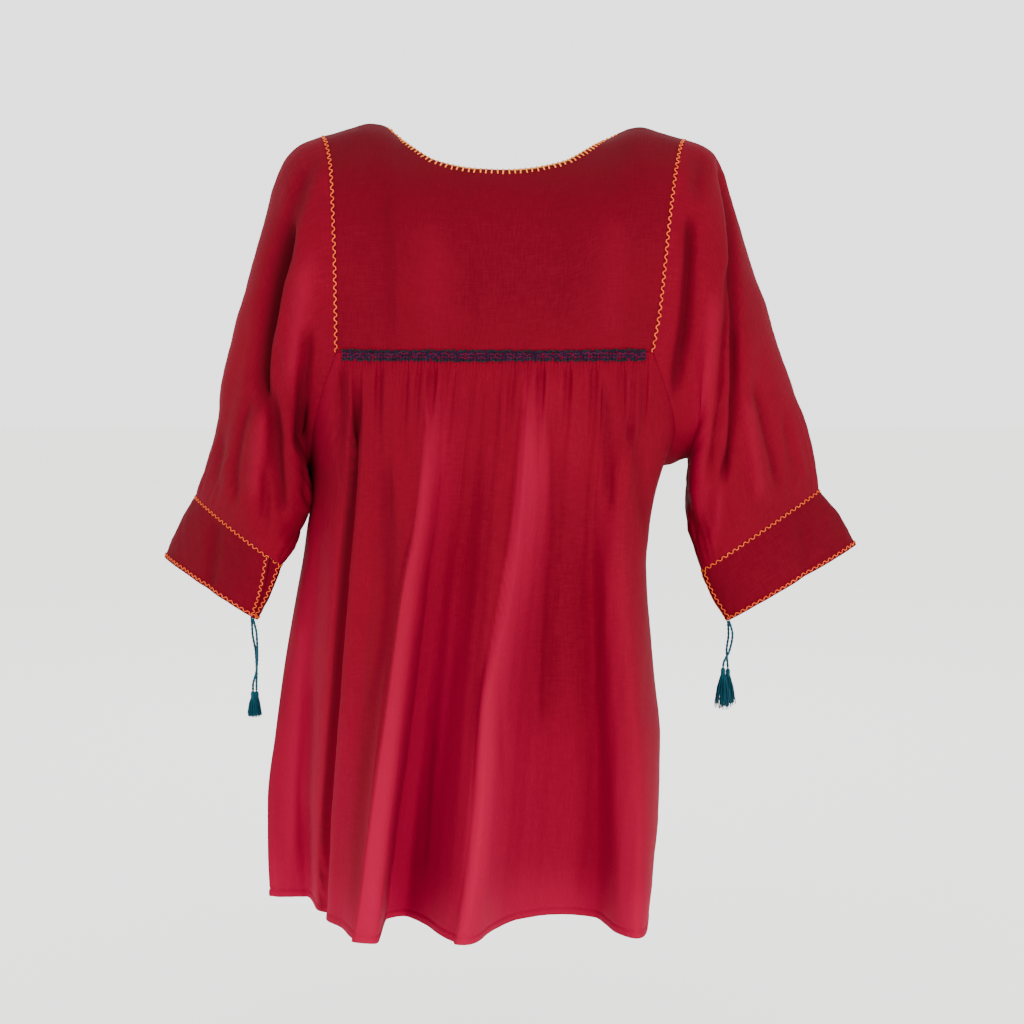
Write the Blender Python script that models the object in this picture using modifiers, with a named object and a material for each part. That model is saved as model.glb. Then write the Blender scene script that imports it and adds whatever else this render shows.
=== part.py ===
"""Peasant blouse in its worn form, hollow and held up at the shoulders.

A plain yoke front and back, a body gathered below the yokes, three-quarter sleeves
gathered into slit cuffs, and two tie cords with tassels at each cuff. Metres, +Z up.
The wearer's back faces -Y. The origin is midway between the two shoulder ridges,
at their height, so a drop is a height below the ridges with its sign turned round.
"""

import math

import bmesh
import bpy
from mathutils import Vector

GARMENT = "peasant_blouse"

# Driving sizes of the cloth.
WALL = 0.0012
SEAM_GAP = 0.0003
YOKE_DROP = 0.222
UNDERARM_DROP = 0.340
HEM_DROP = 0.7865
CHEST_LEFT, CHEST_RIGHT = -0.203, 0.184
CHEST_SQUARENESS = 3.0
CHEST_DEPTH = {"back": 0.105, "front": 0.120}
ARMHOLE_ROUNDNESS = 1.8
NECK_LEFT, NECK_RIGHT = -0.109, 0.108
GATHERS = 24

# How finely each piece is divided.
YOKE_ROWS = 8
NECK_COLUMNS = 16
SHOULDER_COLUMNS = 4
ARMHOLE_STEPS = 16
SLEEVE_RINGS = 12
CUFF_ROWS = 2
CORD_POINTS = 11

# Tie cords and tassels.
CORD_DIAMETER = 0.0026
TASSEL_GRID = 4

SIDES = {"back": -1.0, "front": 1.0}
HANDS = {"left": -1.0, "right": 1.0}
DOWN = Vector((0.0, 0.0, -1.0))


def mix(start, end, share):
    """Point or number a share of the way from start to end."""
    return start + (end - start) * share


def ease(share):
    """Share that starts and ends slowly."""
    share = min(max(share, 0.0), 1.0)
    return share * share * (3.0 - 2.0 * share)


def curve_through(keys, values, key):
    """Smooth curve through numbered places that never swings past its own values."""
    key = min(max(key, keys[0]), keys[-1])
    steps = [(after - before) / (k_after - k_before) for before, after, k_before, k_after
             in zip(values, values[1:], keys, keys[1:])]
    i = max(j for j in range(len(steps)) if j == 0 or keys[j] <= key)

    def slope(j):
        if j == 0 or j == len(steps):
            return steps[min(j, len(steps) - 1)]
        before, after = steps[j - 1], steps[j]
        return 0.0 if before * after <= 0.0 else 2.0 * before * after / (before + after)

    span = keys[i + 1] - keys[i]
    t = (key - keys[i]) / span
    rise = values[i + 1] - values[i]
    near, far = slope(i) * span, slope(i + 1) * span
    return values[i] + t * (near + t * (3 * rise - 2 * near - far + t * (near + far - 2 * rise)))


class Table:
    """Rows of numbers under named columns, read as smooth curves over the first column."""

    def __init__(self, columns, *rows):
        self.columns = columns.split()
        self.rows = rows

    def column(self, name):
        return [row[self.columns.index(name)] for row in self.rows]

    def at(self, name, key):
        return curve_through(self.column(self.columns[0]), self.column(name), key)

    def dicts(self):
        return [dict(zip(self.columns, row)) for row in self.rows]


# The body's side edges on the way down, and how far it has changed from the smooth
# chest to the folded hem.
BODY = Table(
    "drop left right flute",
    (YOKE_DROP, CHEST_LEFT, CHEST_RIGHT, 0.00),
    (0.2900, -0.1990, 0.1760, 0.09),
    (0.3420, -0.1930, 0.1560, 0.17),
    (0.3700, -0.1935, 0.1480, 0.22),
    (0.4050, -0.1985, 0.1425, 0.29),
    (0.4300, -0.2020, 0.1390, 0.34),
    (0.4700, -0.2095, 0.1415, 0.41),
    (0.5420, -0.2225, 0.1485, 0.54),
    (0.6150, -0.2330, 0.1550, 0.68),
    (0.6870, -0.2420, 0.1525, 0.82),
    (0.7400, -0.2425, 0.1465, 0.92),
    (HEM_DROP, -0.2410, 0.1400, 1.00),
)

# Plan of the hem, a row for each crest, valley or turn of its folds. share is the
# place across the cloth, out the distance behind or before the side seams' line.
HEM = {
    "back": Table(
        "share across out",
        (0.000, -0.2410, -0.012),
        (0.045, -0.2310, -0.008),
        (0.110, -0.2030, -0.010),
        (0.185, -0.1860, 0.050),
        (0.235, -0.1720, 0.082),
        (0.290, -0.1600, 0.100),
        (0.345, -0.1420, 0.146),
        (0.375, -0.1290, 0.152),
        (0.420, -0.1230, 0.070),
        (0.440, -0.1020, 0.061),
        (0.468, -0.0810, 0.084),
        (0.515, -0.0560, 0.138),
        (0.535, -0.0430, 0.154),
        (0.575, -0.0190, 0.114),
        (0.620, 0.0160, 0.070),
        (0.665, 0.0560, 0.055),
        (0.705, 0.0900, 0.066),
        (0.750, 0.1120, 0.120),
        (0.780, 0.1280, 0.138),
        (0.840, 0.1385, 0.108),
        (0.920, 0.1425, 0.048),
        (1.000, 0.1400, -0.010),
    ),
    "front": Table(
        "share across out",
        (0.000, -0.2410, 0.012),
        (0.060, -0.2425, 0.048),
        (0.120, -0.2240, 0.098),
        (0.190, -0.1970, 0.122),
        (0.250, -0.1740, 0.099),
        (0.300, -0.1490, 0.092),
        (0.360, -0.1220, 0.134),
        (0.410, -0.0980, 0.157),
        (0.460, -0.0770, 0.128),
        (0.510, -0.0530, 0.098),
        (0.570, -0.0250, 0.106),
        (0.630, 0.0040, 0.148),
        (0.670, 0.0220, 0.160),
        (0.720, 0.0440, 0.124),
        (0.770, 0.0660, 0.097),
        (0.830, 0.0920, 0.114),
        (0.880, 0.1150, 0.138),
        (0.930, 0.1350, 0.108),
        (0.970, 0.1420, 0.058),
        (1.000, 0.1400, 0.010),
    ),
}
EDGE_REACH = 0.45

# Rows of the body panels: the depth below the yoke seam, and the swell there of the
# fine gathers and of the folds that they run into.
BODY_ROWS = Table(
    "depth fine fold",
    (0.0000, 0.0000, 0.00),
    (0.0055, 0.0008, 0.05),
    (0.0110, 0.0009, 0.15),
    (0.0220, 0.0018, 0.60),
    (0.0450, 0.0014, 1.00),
    (0.0800, 0.0006, 1.00),
    (0.1300, 0.0000, 0.85),
    (0.1900, 0.0000, 0.62),
    (0.2600, 0.0000, 0.42),
    (0.3300, 0.0000, 0.26),
    (0.4000, 0.0000, 0.14),
    (0.4750, 0.0000, 0.06),
    (0.5490, 0.0000, 0.00),
)

# Folds that fall from the gathers: the place across the yoke seam, the rise and the
# half width of each, in metres.
GATHER_FOLDS = {
    "back": Table(
        "across rise reach",
        (-0.148, 0.0050, 0.010),
        (-0.129, 0.0042, 0.009),
        (-0.104, 0.0050, 0.010),
        (-0.078, 0.0038, 0.010),
        (-0.054, 0.0062, 0.012),
        (-0.027, 0.0034, 0.010),
        (-0.003, 0.0052, 0.010),
        (0.021, 0.0060, 0.012),
        (0.045, 0.0048, 0.010),
        (0.070, 0.0044, 0.010),
        (0.096, 0.0056, 0.012),
        (0.126, 0.0050, 0.011),
    ),
    "front": Table(
        "across rise reach",
        (-0.145, 0.0046, 0.010),
        (-0.121, 0.0054, 0.011),
        (-0.096, 0.0040, 0.009),
        (-0.073, 0.0056, 0.011),
        (-0.047, 0.0048, 0.010),
        (-0.022, 0.0060, 0.012),
        (0.004, 0.0042, 0.010),
        (0.029, 0.0056, 0.011),
        (0.053, 0.0040, 0.009),
        (0.076, 0.0058, 0.011),
        (0.101, 0.0046, 0.010),
        (0.125, 0.0052, 0.010),
    ),
}

# Yokes from the gathered seam (rise 0) to the shoulder ridge (rise 1): the drop, the
# share of the chest's depth on each side, and the two sleeve seams.
YOKE = Table(
    "rise drop back front left right",
    (0.00, YOKE_DROP, 1.00, 1.00, -0.1612, 0.1432),
    (0.17, 0.181, 1.01, 0.98, -0.1614, 0.1500),
    (0.33, 0.141, 1.00, 0.94, -0.1618, 0.1542),
    (0.49, 0.102, 0.95, 0.86, -0.1630, 0.1580),
    (0.62, 0.071, 0.85, 0.75, -0.1645, 0.1618),
    (0.74, 0.044, 0.68, 0.60, -0.1667, 0.1658),
    (0.84, 0.023, 0.46, 0.42, -0.1705, 0.1700),
    (0.92, 0.008, 0.23, 0.22, -0.1752, 0.1743),
    (1.00, 0.000, 0.00, 0.00, -0.1799, 0.1786),
)
ROWS_TO_RIDGE = 1.25

# Height lost along the shoulder ridge on each side of the shoulders' tops.
RIDGE = Table(
    "across drop",
    (-0.1850, 0.0145),
    (-0.1720, 0.0118),
    (-0.1520, 0.0059),
    (-0.1323, 0.0010),
    (-0.1224, 0.0020),
    (-0.1126, 0.0060),
    (-0.1000, 0.0140),
    (0.0950, 0.0170),
    (0.1060, 0.0140),
    (0.1148, 0.0098),
    (0.1246, 0.0059),
    (0.1345, 0.0045),
    (0.1543, 0.0098),
    (0.1741, 0.0155),
    (0.1850, 0.0180),
)

# Drop of the neck edge across its width.
NECK = Table(
    "across back front",
    (NECK_LEFT, 0.0110, 0.0110),
    (-0.1021, 0.0182, 0.0320),
    (-0.0917, 0.0265, 0.0520),
    (-0.0813, 0.0338, 0.0690),
    (-0.0713, 0.0389, 0.0810),
    (-0.0518, 0.0439, 0.0950),
    (-0.0324, 0.0469, 0.1020),
    (0.0000, 0.0484, 0.1050),
    (0.0253, 0.0469, 0.1035),
    (0.0446, 0.0439, 0.0970),
    (0.0641, 0.0389, 0.0850),
    (0.0740, 0.0339, 0.0770),
    (0.0840, 0.0278, 0.0660),
    (0.0943, 0.0213, 0.0480),
    (0.1020, 0.0175, 0.0280),
    (NECK_RIGHT, 0.0140, 0.0140),
)

# Sleeve sections from armhole (way 0) to cuff (way 1). The outer and inner points
# are the edges seen from behind, back and front the swell of the tube to each side.
SLEEVES = {
    "left": Table(
        "way outer_x outer_y outer_drop inner_x inner_y inner_drop back front",
        (0.00, -0.1799, 0.000, 0.0130, -0.1930, 0.000, 0.3400, 0.096, 0.106),
        (0.06, -0.2017, 0.000, 0.0216, -0.1985, 0.000, 0.3425, 0.093, 0.101),
        (0.12, -0.2175, 0.000, 0.0375, -0.1990, 0.000, 0.3490, 0.089, 0.096),
        (0.20, -0.2289, 0.000, 0.0657, -0.1985, 0.000, 0.3570, 0.084, 0.090),
        (0.30, -0.2414, 0.000, 0.1100, -0.1980, 0.000, 0.3650, 0.079, 0.084),
        (0.42, -0.2558, 0.002, 0.1595, -0.1980, -0.002, 0.3730, 0.073, 0.077),
        (0.54, -0.2705, 0.006, 0.2094, -0.1985, -0.004, 0.3820, 0.067, 0.070),
        (0.66, -0.2830, 0.014, 0.2600, -0.2005, -0.008, 0.3920, 0.060, 0.063),
        (0.78, -0.2880, 0.026, 0.3050, -0.2040, -0.018, 0.4040, 0.052, 0.054),
        (0.90, -0.3000, 0.046, 0.3470, -0.2115, -0.030, 0.4190, 0.040, 0.042),
        (1.00, -0.3150, 0.062, 0.3786, -0.2240, -0.032, 0.4350, 0.026, 0.026),
    ),
    "right": Table(
        "way outer_x outer_y outer_drop inner_x inner_y inner_drop back front",
        (0.00, 0.1786, 0.000, 0.0170, 0.1560, 0.000, 0.3420, 0.096, 0.106),
        (0.06, 0.1950, 0.000, 0.0225, 0.1655, 0.000, 0.3405, 0.093, 0.101),
        (0.12, 0.2079, 0.000, 0.0314, 0.1767, 0.000, 0.3354, 0.089, 0.096),
        (0.20, 0.2175, 0.000, 0.0510, 0.1840, 0.000, 0.3330, 0.084, 0.090),
        (0.30, 0.2303, 0.000, 0.0913, 0.1880, 0.000, 0.3355, 0.079, 0.084),
        (0.40, 0.2448, 0.001, 0.1377, 0.1885, -0.001, 0.3430, 0.074, 0.078),
        (0.50, 0.2595, 0.003, 0.1764, 0.1870, -0.003, 0.3550, 0.069, 0.072),
        (0.60, 0.2725, 0.008, 0.2165, 0.1850, -0.004, 0.3680, 0.063, 0.066),
        (0.72, 0.2885, 0.016, 0.2600, 0.1837, -0.006, 0.3850, 0.055, 0.058),
        (0.84, 0.3052, 0.024, 0.3030, 0.1855, -0.007, 0.4010, 0.046, 0.048),
        (0.93, 0.3150, 0.031, 0.3390, 0.1915, -0.006, 0.4200, 0.036, 0.037),
        (1.00, 0.3203, 0.036, 0.3686, 0.1995, -0.004, 0.4454, 0.024, 0.024),
    ),
}

# Creases pressed into the sleeves. A turn runs from 0 at the outer edge over the back
# (0.5) and the inner edge (1) to the front (1.5). depth and reach are in metres.
SLEEVE_CREASES = {
    "left": Table(
        "way turn end_way end_turn depth reach",
        (0.34, 0.46, 0.92, 0.76, 0.0130, 0.016),
        (0.48, 0.24, 0.98, 0.33, 0.0070, 0.015),
        (0.10, 0.70, 0.52, 0.86, 0.0060, 0.014),
        (0.38, 1.58, 0.90, 1.34, 0.0110, 0.017),
        (0.50, 1.78, 0.96, 1.68, 0.0060, 0.016),
    ),
    "right": Table(
        "way turn end_way end_turn depth reach",
        (0.42, 0.42, 0.86, 0.58, 0.0100, 0.013),
        (0.50, 0.58, 0.90, 0.72, 0.0060, 0.014),
        (0.56, 0.30, 0.92, 0.40, 0.0050, 0.014),
        (0.40, 1.60, 0.88, 1.40, 0.0100, 0.016),
        (0.52, 1.76, 0.94, 1.66, 0.0060, 0.016),
    ),
}
SLEEVE_LENGTH = 0.42
SLEEVE_HALF_GIRTH = 0.24
CUFF_GATHER = 0.0013
CUFF_GATHER_START = 0.78
CUFF_BULGE = 0.0028

# Lower edge of each cuff, and the turns of its two ends beside the slit, at the seam
# and at the lower edge. The near end lies on the back.
CUFFS = {
    "left": {"outer": Vector((-0.3505, 0.079, -0.4444)), "inner": Vector((-0.2515, -0.015, -0.4925)),
             "back": 0.026, "front": 0.026, "near": (0.79, 0.985), "far": (-0.99, -0.955)},
    "right": {"outer": Vector((0.3613, 0.052, -0.4272)), "inner": Vector((0.2275, 0.010, -0.4990)),
              "back": 0.024, "front": 0.024, "near": (0.975, 0.965), "far": (-1.01, -1.00)},
}

# Route of each tie cord below the cuff end that holds it, and its tassel.
# Sideways steps are in metres from the corner of the cuff's end.
CORDS = {
    "tie_left_a": Table("drop across out",
                        (0.0000, 0.0000, -0.0006), (0.0160, 0.0006, -0.0010), (0.0360, 0.0006, -0.0010),
                        (0.0520, 0.0000, -0.0040), (0.0680, -0.0022, -0.0060), (0.0720, -0.0022, -0.0060)),
    "tie_left_b": Table("drop across out",
                        (0.0000, 0.0000, 0.0006), (0.0160, -0.0032, 0.0024), (0.0360, 0.0004, 0.0026),
                        (0.0560, 0.0006, 0.0050), (0.0720, -0.0008, 0.0066), (0.0760, -0.0008, 0.0066)),
    "tie_right_a": Table("drop across out",
                         (0.0000, 0.0000, -0.0014), (0.0140, 0.0010, -0.0018), (0.0300, -0.0018, -0.0014),
                         (0.0420, -0.0080, -0.0010), (0.0460, -0.0080, -0.0010)),
    "tie_right_b": Table("drop across out",
                         (0.0000, 0.0000, 0.0014), (0.0140, -0.0024, 0.0016), (0.0300, -0.0030, 0.0022),
                         (0.0450, 0.0018, 0.0040), (0.0490, 0.0018, 0.0040)),
}
TASSELS = {
    "tassel_left_a": {"cord": "tie_left_a", "length": 0.0270, "spread": 0.0060},
    "tassel_left_b": {"cord": "tie_left_b", "length": 0.0265, "spread": 0.0058},
    "tassel_right_a": {"cord": "tie_right_a", "length": 0.0430, "spread": 0.0060},
    "tassel_right_b": {"cord": "tie_right_b", "length": 0.0385, "spread": 0.0060},
}
TASSEL_HEAD = Table("up width", (0.0000, 0.0026), (0.0022, 0.0021), (0.0050, 0.0027), (0.0080, 0.0016))
STRAND_INSET = 0.00022
STRAND_STEPS = 2


def chest_points(side):
    """Plan of the body at the yoke seam: a squared oval, left to right over one side."""
    middle, half = mix(CHEST_LEFT, CHEST_RIGHT, 0.5), 0.5 * (CHEST_RIGHT - CHEST_LEFT)
    power = 2.0 / CHEST_SQUARENESS
    points = []
    for step in range(401):
        angle = math.pi * step / 400
        across, out = math.cos(angle), math.sin(angle)
        x = middle - half * math.copysign(abs(across) ** power, across)
        points.append(Vector((x, SIDES[side] * CHEST_DEPTH[side] * abs(out) ** power, 0.0)))
    return points


class Path:
    """Line of points that is read by the share of its length."""

    def __init__(self, points):
        self.points = points
        self.lengths = [0.0]
        for before, after in zip(points, points[1:]):
            self.lengths.append(self.lengths[-1] + (after - before).length)

    def at(self, share):
        goal = min(max(share, 0.0), 1.0) * self.lengths[-1]
        i = max(j for j in range(len(self.points) - 1) if self.lengths[j] <= goal)
        span = self.lengths[i + 1] - self.lengths[i]
        return mix(self.points[i], self.points[i + 1], (goal - self.lengths[i]) / span)

    def share_at_x(self, x):
        i = next(j for j, point in enumerate(self.points) if point.x >= x)
        return self.lengths[i] / self.lengths[-1]


CHEST = {side: Path(chest_points(side)) for side in SIDES}
CORNER = {side: (CHEST[side].share_at_x(YOKE.at("left", 0.0)),
                 CHEST[side].share_at_x(YOKE.at("right", 0.0))) for side in SIDES}


def top_drop(side, share):
    """Drop of the body panel's upper edge: the yoke seam, then the armhole curves."""
    left, right = CORNER[side]
    outward = max((left - share) / left, (share - right) / (1.0 - right), 0.0)
    return YOKE_DROP + (UNDERARM_DROP - YOKE_DROP) * (1.0 - (1.0 - outward) ** ARMHOLE_ROUNDNESS)


def gather_swell(side, share, depth):
    """How far the gathers push the cloth out at a depth below the panel's upper edge."""
    left, right = CORNER[side]
    place = (share - left) / (right - left)
    across = CHEST[side].at(share).x
    fine = 0.0
    if 0.0 <= place <= 1.0:
        uneven = 0.72 + 0.28 * math.sin(17.0 * place + 3.0 * SIDES[side])
        fine = math.cos(2.0 * math.pi * GATHERS * place) * uneven * BODY_ROWS.at("fine", depth)
    fold = 0.0
    for row in GATHER_FOLDS[side].dicts():
        near = abs(across - row["across"]) / (2.0 * row["reach"])
        if near < 1.0:
            fold += row["rise"] * (0.5 + 0.5 * math.cos(math.pi * near))
    return fine + fold * BODY_ROWS.at("fold", depth)


def body_point(side, share, drop):
    """Point of the body's cloth at a share of its width and a drop."""
    flute = BODY.at("flute", drop)
    hem = HEM[side]
    facing = SIDES[side]

    def plan(place):
        chest = CHEST[side].at(place)
        return Vector((mix(chest.x, hem.at("across", place), flute),
                       mix(chest.y, facing * hem.at("out", place), flute), 0.0))

    point = plan(share)
    x = point.x
    for edge, name in ((0.0, "left"), (1.0, "right")):
        moved = BODY.at(name, drop) - plan(edge).x
        x += moved * ease(1.0 - abs(share - edge) / EDGE_REACH)
    y = point.y + facing * gather_swell(side, share, drop - top_drop(side, share))
    return Vector((x, y, -drop))


def seam_clearance(along, other):
    """Distance to hold an edge back so that two walls that meet at a seam don't touch.

    along and other point away from the seam, along the held-back piece and its neighbour.
    """
    angle = max(along.angle(other), math.radians(35.0))
    return SEAM_GAP + 0.5 * WALL / math.tan(0.5 * angle)


def mirrored_clearance(along):
    """How far to hold an edge back from a seam where a mirror piece meets it at y = 0."""
    across_seam = Vector((along.x, -along.y, along.z))
    return seam_clearance(along, across_seam) - 0.5 * SEAM_GAP


def rise_at_row(share):
    """Rise of a yoke's row: the rows lie closer together towards the ridge."""
    return 1.0 - (1.0 - share) ** ROWS_TO_RIDGE


def yoke_point(side, place, rise):
    """Point of a yoke from its left sleeve seam (place 0) to its right one (place 1)."""
    left, right = CORNER[side]
    x = mix(YOKE.at("left", rise), YOKE.at("right", rise), place)
    bottom = CHEST[side].at(mix(left, right, place))
    drop = YOKE.at("drop", rise) + RIDGE.at("drop", x) * rise * rise
    return Vector((x, bottom.y * YOKE.at(side, rise), -drop))


def neck_rise(side, place):
    """Rise of a yoke's upper edge: the shoulder ridge, or the neck edge between its ends."""
    x = mix(YOKE.at("left", 1.0), YOKE.at("right", 1.0), place)
    if not NECK_LEFT < x < NECK_RIGHT:
        return 1.0
    goal = NECK.at(side, x)
    low, high = 0.0, 1.0
    for _ in range(24):
        rise = mix(low, high, 0.5)
        if -yoke_point(side, place, rise).z > goal:
            low = rise
        else:
            high = rise
    return low


def armhole_point(hand, side, step):
    """Point of the sleeve seam from the shoulder ridge (0) over the yoke corner (0.5) to
    the underarm (1), and the direction from it into the yoke or body."""
    end = 0.0 if hand == "left" else 1.0
    inward = 0.03 if hand == "left" else -0.03
    if step <= 0.5:
        rise = rise_at_row(1.0 - 2.0 * step)
        seam = yoke_point(side, end, rise)
        return seam, yoke_point(side, end + inward, rise) - seam
    corner = CORNER[side][0 if hand == "left" else 1]
    share = mix(corner, end, 2.0 * step - 1.0)
    drop = top_drop(side, share)
    seam = body_point(side, share, drop)
    return seam, body_point(side, share, drop + 0.012) - seam


def sleeve_section(hand, way):
    """Plain oval section of a sleeve, as a function of the turn round it."""
    rows = SLEEVES[hand]
    outer = Vector((rows.at("outer_x", way), rows.at("outer_y", way), -rows.at("outer_drop", way)))
    inner = Vector((rows.at("inner_x", way), rows.at("inner_y", way), -rows.at("inner_drop", way)))
    return oval(hand, outer, inner, rows.at("back", way), rows.at("front", way), way)


def oval(hand, outer, inner, back, front, way):
    """Oval through an outer and an inner point, swelling to the back and the front."""
    facing = HANDS[hand]
    cuff_axis = Vector((facing * 0.55, -0.10, -0.83))
    axis = mix(Vector((facing, 0.0, 0.0)), cuff_axis, ease(way))
    middle, half = mix(outer, inner, 0.5), 0.5 * (outer - inner)
    backward = facing * axis.cross(half).normalized()

    def point(turn):
        angle = math.pi * turn
        swell = back if math.sin(angle) >= 0.0 else front
        return middle + half * math.cos(angle) + backward * swell * math.sin(angle)

    return middle, point


def crease_depth(hand, way, turn):
    """How far the creases press the sleeve in at one place."""
    depth = 0.0
    place = Vector((way * SLEEVE_LENGTH, turn * SLEEVE_HALF_GIRTH))
    for row in SLEEVE_CREASES[hand].dicts():
        start = Vector((row["way"] * SLEEVE_LENGTH, row["turn"] * SLEEVE_HALF_GIRTH))
        end = Vector((row["end_way"] * SLEEVE_LENGTH, row["end_turn"] * SLEEVE_HALF_GIRTH))
        line = end - start
        share = min(max((place - start).dot(line) / line.length_squared, 0.0), 1.0)
        away = (place - start - line * share).length / row["reach"]
        depth += row["depth"] * math.exp(-away * away)
    return depth


def sleeve_point(hand, way, turn):
    """Point of a sleeve's cloth. The armhole's own shape fades out along the upper arm."""
    middle, section = sleeve_section(hand, way)
    point = section(turn)
    side = "back" if turn <= 1.0 else "front"
    step = turn if turn <= 1.0 else 2.0 - turn
    seam, _ = armhole_point(hand, side, step)
    fade = 1.0 - ease(way / 0.45)
    point += (seam - sleeve_section(hand, 0.0)[1](turn)) * fade
    outward = (point - middle).normalized()
    point -= outward * crease_depth(hand, way, turn) * ease(way / 0.2) * ease((1.0 - way) / 0.12)
    gathered = ease((way - CUFF_GATHER_START) / 0.12) * ease((1.0 - way) / 0.06)
    point += outward * CUFF_GATHER * gathered * math.cos(math.pi * ARMHOLE_STEPS * turn)
    if way == 0.0:
        point += armhole_inset(hand, side, step, sleeve_point(hand, 0.04, turn) - point)
    return point


def armhole_inset(hand, side, step, along):
    """Step off the armhole seam that keeps the sleeve's wall clear of yoke and body."""
    ahead, _ = armhole_point(hand, side, min(step + 0.02, 1.0))
    behind, _ = armhole_point(hand, side, max(step - 0.02, 0.0))
    seam = (ahead - behind).normalized()
    along -= seam * along.dot(seam)
    clearance = 0.0
    for beside in (step - 0.01, step, step + 0.01):
        _, other = armhole_point(hand, side, min(max(beside, 0.0), 1.0))
        clearance = max(clearance, seam_clearance(along, other - seam * other.dot(seam)))
    return along.normalized() * clearance


def cuff_point(hand, turn, fall):
    """Point of a cuff from its seam (fall 0) to its lower edge (fall 1)."""
    size = CUFFS[hand]
    middle, section = sleeve_section(hand, 1.0)
    place = turn * ARMHOLE_STEPS
    before, after = section(math.floor(place) / ARMHOLE_STEPS), section(math.ceil(place) / ARMHOLE_STEPS)
    top = mix(before, after, place - math.floor(place))
    bottom = oval(hand, size["outer"], size["inner"], size["back"], size["front"], 1.0)[1](turn)
    return mix(top, bottom, fall) + (top - middle).normalized() * CUFF_BULGE * math.sin(math.pi * fall)


def cuff_end(hand, end, fall):
    """Turn of one end of a cuff beside its slit."""
    return mix(*CUFFS[hand][end], fall)


def parts_collection():
    """Empty the scene and make the collection that holds the blouse."""
    for thing in list(bpy.data.objects):
        bpy.data.objects.remove(thing)
    collection = bpy.data.collections.new(GARMENT)
    bpy.context.scene.collection.children.link(collection)
    return collection


def cloth_material(name, colour, roughness):
    """Plain woven cotton or cord in one colour."""
    material = bpy.data.materials.new(name)
    material.use_nodes = True
    shader = material.node_tree.nodes["Principled BSDF"]
    shader.inputs["Base Color"].default_value = (*colour, 1.0)
    shader.inputs["Roughness"].default_value = roughness
    shader.inputs["Metallic"].default_value = 0.0
    return material


def add_object(collection, name, data, colour, roughness=0.85):
    """Put a mesh or curve in the collection under its sub-part's name."""
    thing = bpy.data.objects.new(name, data)
    data.materials.append(cloth_material(name + "_cloth", colour, roughness))
    collection.objects.link(thing)
    return thing


def cloth(collection, name, columns, rows, point, colour, closed=False, turned=False):
    """Grid of cloth whose points a function places, thickened to the wall."""
    bm = bmesh.new()
    bmesh.ops.create_grid(bm, x_segments=columns, y_segments=rows, size=0.5)
    for vert in bm.verts:
        column = round((vert.co.x + 0.5) * columns)
        row = round((vert.co.y + 0.5) * rows)
        vert.co = point(column, row)
    if closed:
        bmesh.ops.remove_doubles(bm, verts=bm.verts, dist=1e-6)
    if turned:
        bmesh.ops.reverse_faces(bm, faces=bm.faces)
    mesh = bpy.data.meshes.new(name)
    bm.to_mesh(mesh)
    bm.free()
    mesh.shade_smooth()
    thing = add_object(collection, name, mesh, colour)
    wall = thing.modifiers.new("wall", "SOLIDIFY")
    wall.thickness = WALL
    wall.offset = 0.0
    return thing


def yoke_columns():
    """Places across a yoke: close together at the neck's ends, where it turns quickly."""
    left, right = YOKE.at("left", 1.0), YOKE.at("right", 1.0)
    neck_start, neck_end = ((x - left) / (right - left) for x in (NECK_LEFT, NECK_RIGHT))
    places = [neck_start * i / SHOULDER_COLUMNS for i in range(SHOULDER_COLUMNS)]
    for i in range(NECK_COLUMNS + 1):
        spread = 0.5 - 0.5 * math.cos(math.pi * i / NECK_COLUMNS)
        places.append(mix(neck_start, neck_end, spread))
    places += [mix(neck_end, 1.0, i / SHOULDER_COLUMNS) for i in range(1, SHOULDER_COLUMNS + 1)]
    return places


def yoke(collection, side, colour):
    """One yoke, plain, from the gathered seam to the shoulder ridge and the neck edge."""
    places = yoke_columns()

    def point(column, row):
        place = places[column]
        top = neck_rise(side, place)
        spot = yoke_point(side, place, top * rise_at_row(row / YOKE_ROWS))
        if row == YOKE_ROWS:
            along = yoke_point(side, place, top * rise_at_row((row - 1) / YOKE_ROWS)) - spot
            along.normalize()
            spot += along * max(mirrored_clearance(along) - abs(spot.y / along.y), 0.0)
        if row == 0:
            spot.z += SEAM_GAP
        return spot

    return cloth(collection, side + "_yoke", len(places) - 1, YOKE_ROWS, point, colour,
                 turned=side == "front")


def panel_shares(side):
    """Shares across a body panel: the armhole steps, then a crest and a valley a gather."""
    left, right = CORNER[side]
    steps = ARMHOLE_STEPS // 2
    shares = [left * i / steps for i in range(steps)]
    shares += [mix(left, right, i / (2 * GATHERS)) for i in range(2 * GATHERS + 1)]
    shares += [mix(right, 1.0, i / steps) for i in range(1, steps + 1)]
    return shares


def panel(collection, side, colour):
    """One body panel, gathered to the yoke and falling in flutes to the hem."""
    shares = panel_shares(side)
    depths = BODY_ROWS.column("depth")

    def point(column, row):
        share = shares[column]
        top = top_drop(side, share)
        depth = depths[len(depths) - 1 - row] / depths[-1]
        drop = mix(top, HEM_DROP, depth)
        spot = body_point(side, share, drop)
        if column in (0, len(shares) - 1):
            neighbour = body_point(side, shares[1 if column == 0 else -2], drop)
            along = neighbour - spot
            spot += along.normalized() * mirrored_clearance(along)
        return spot

    return cloth(collection, side + "_panel", len(shares) - 1, len(depths) - 1, point, colour,
                 turned=side == "front")


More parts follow.
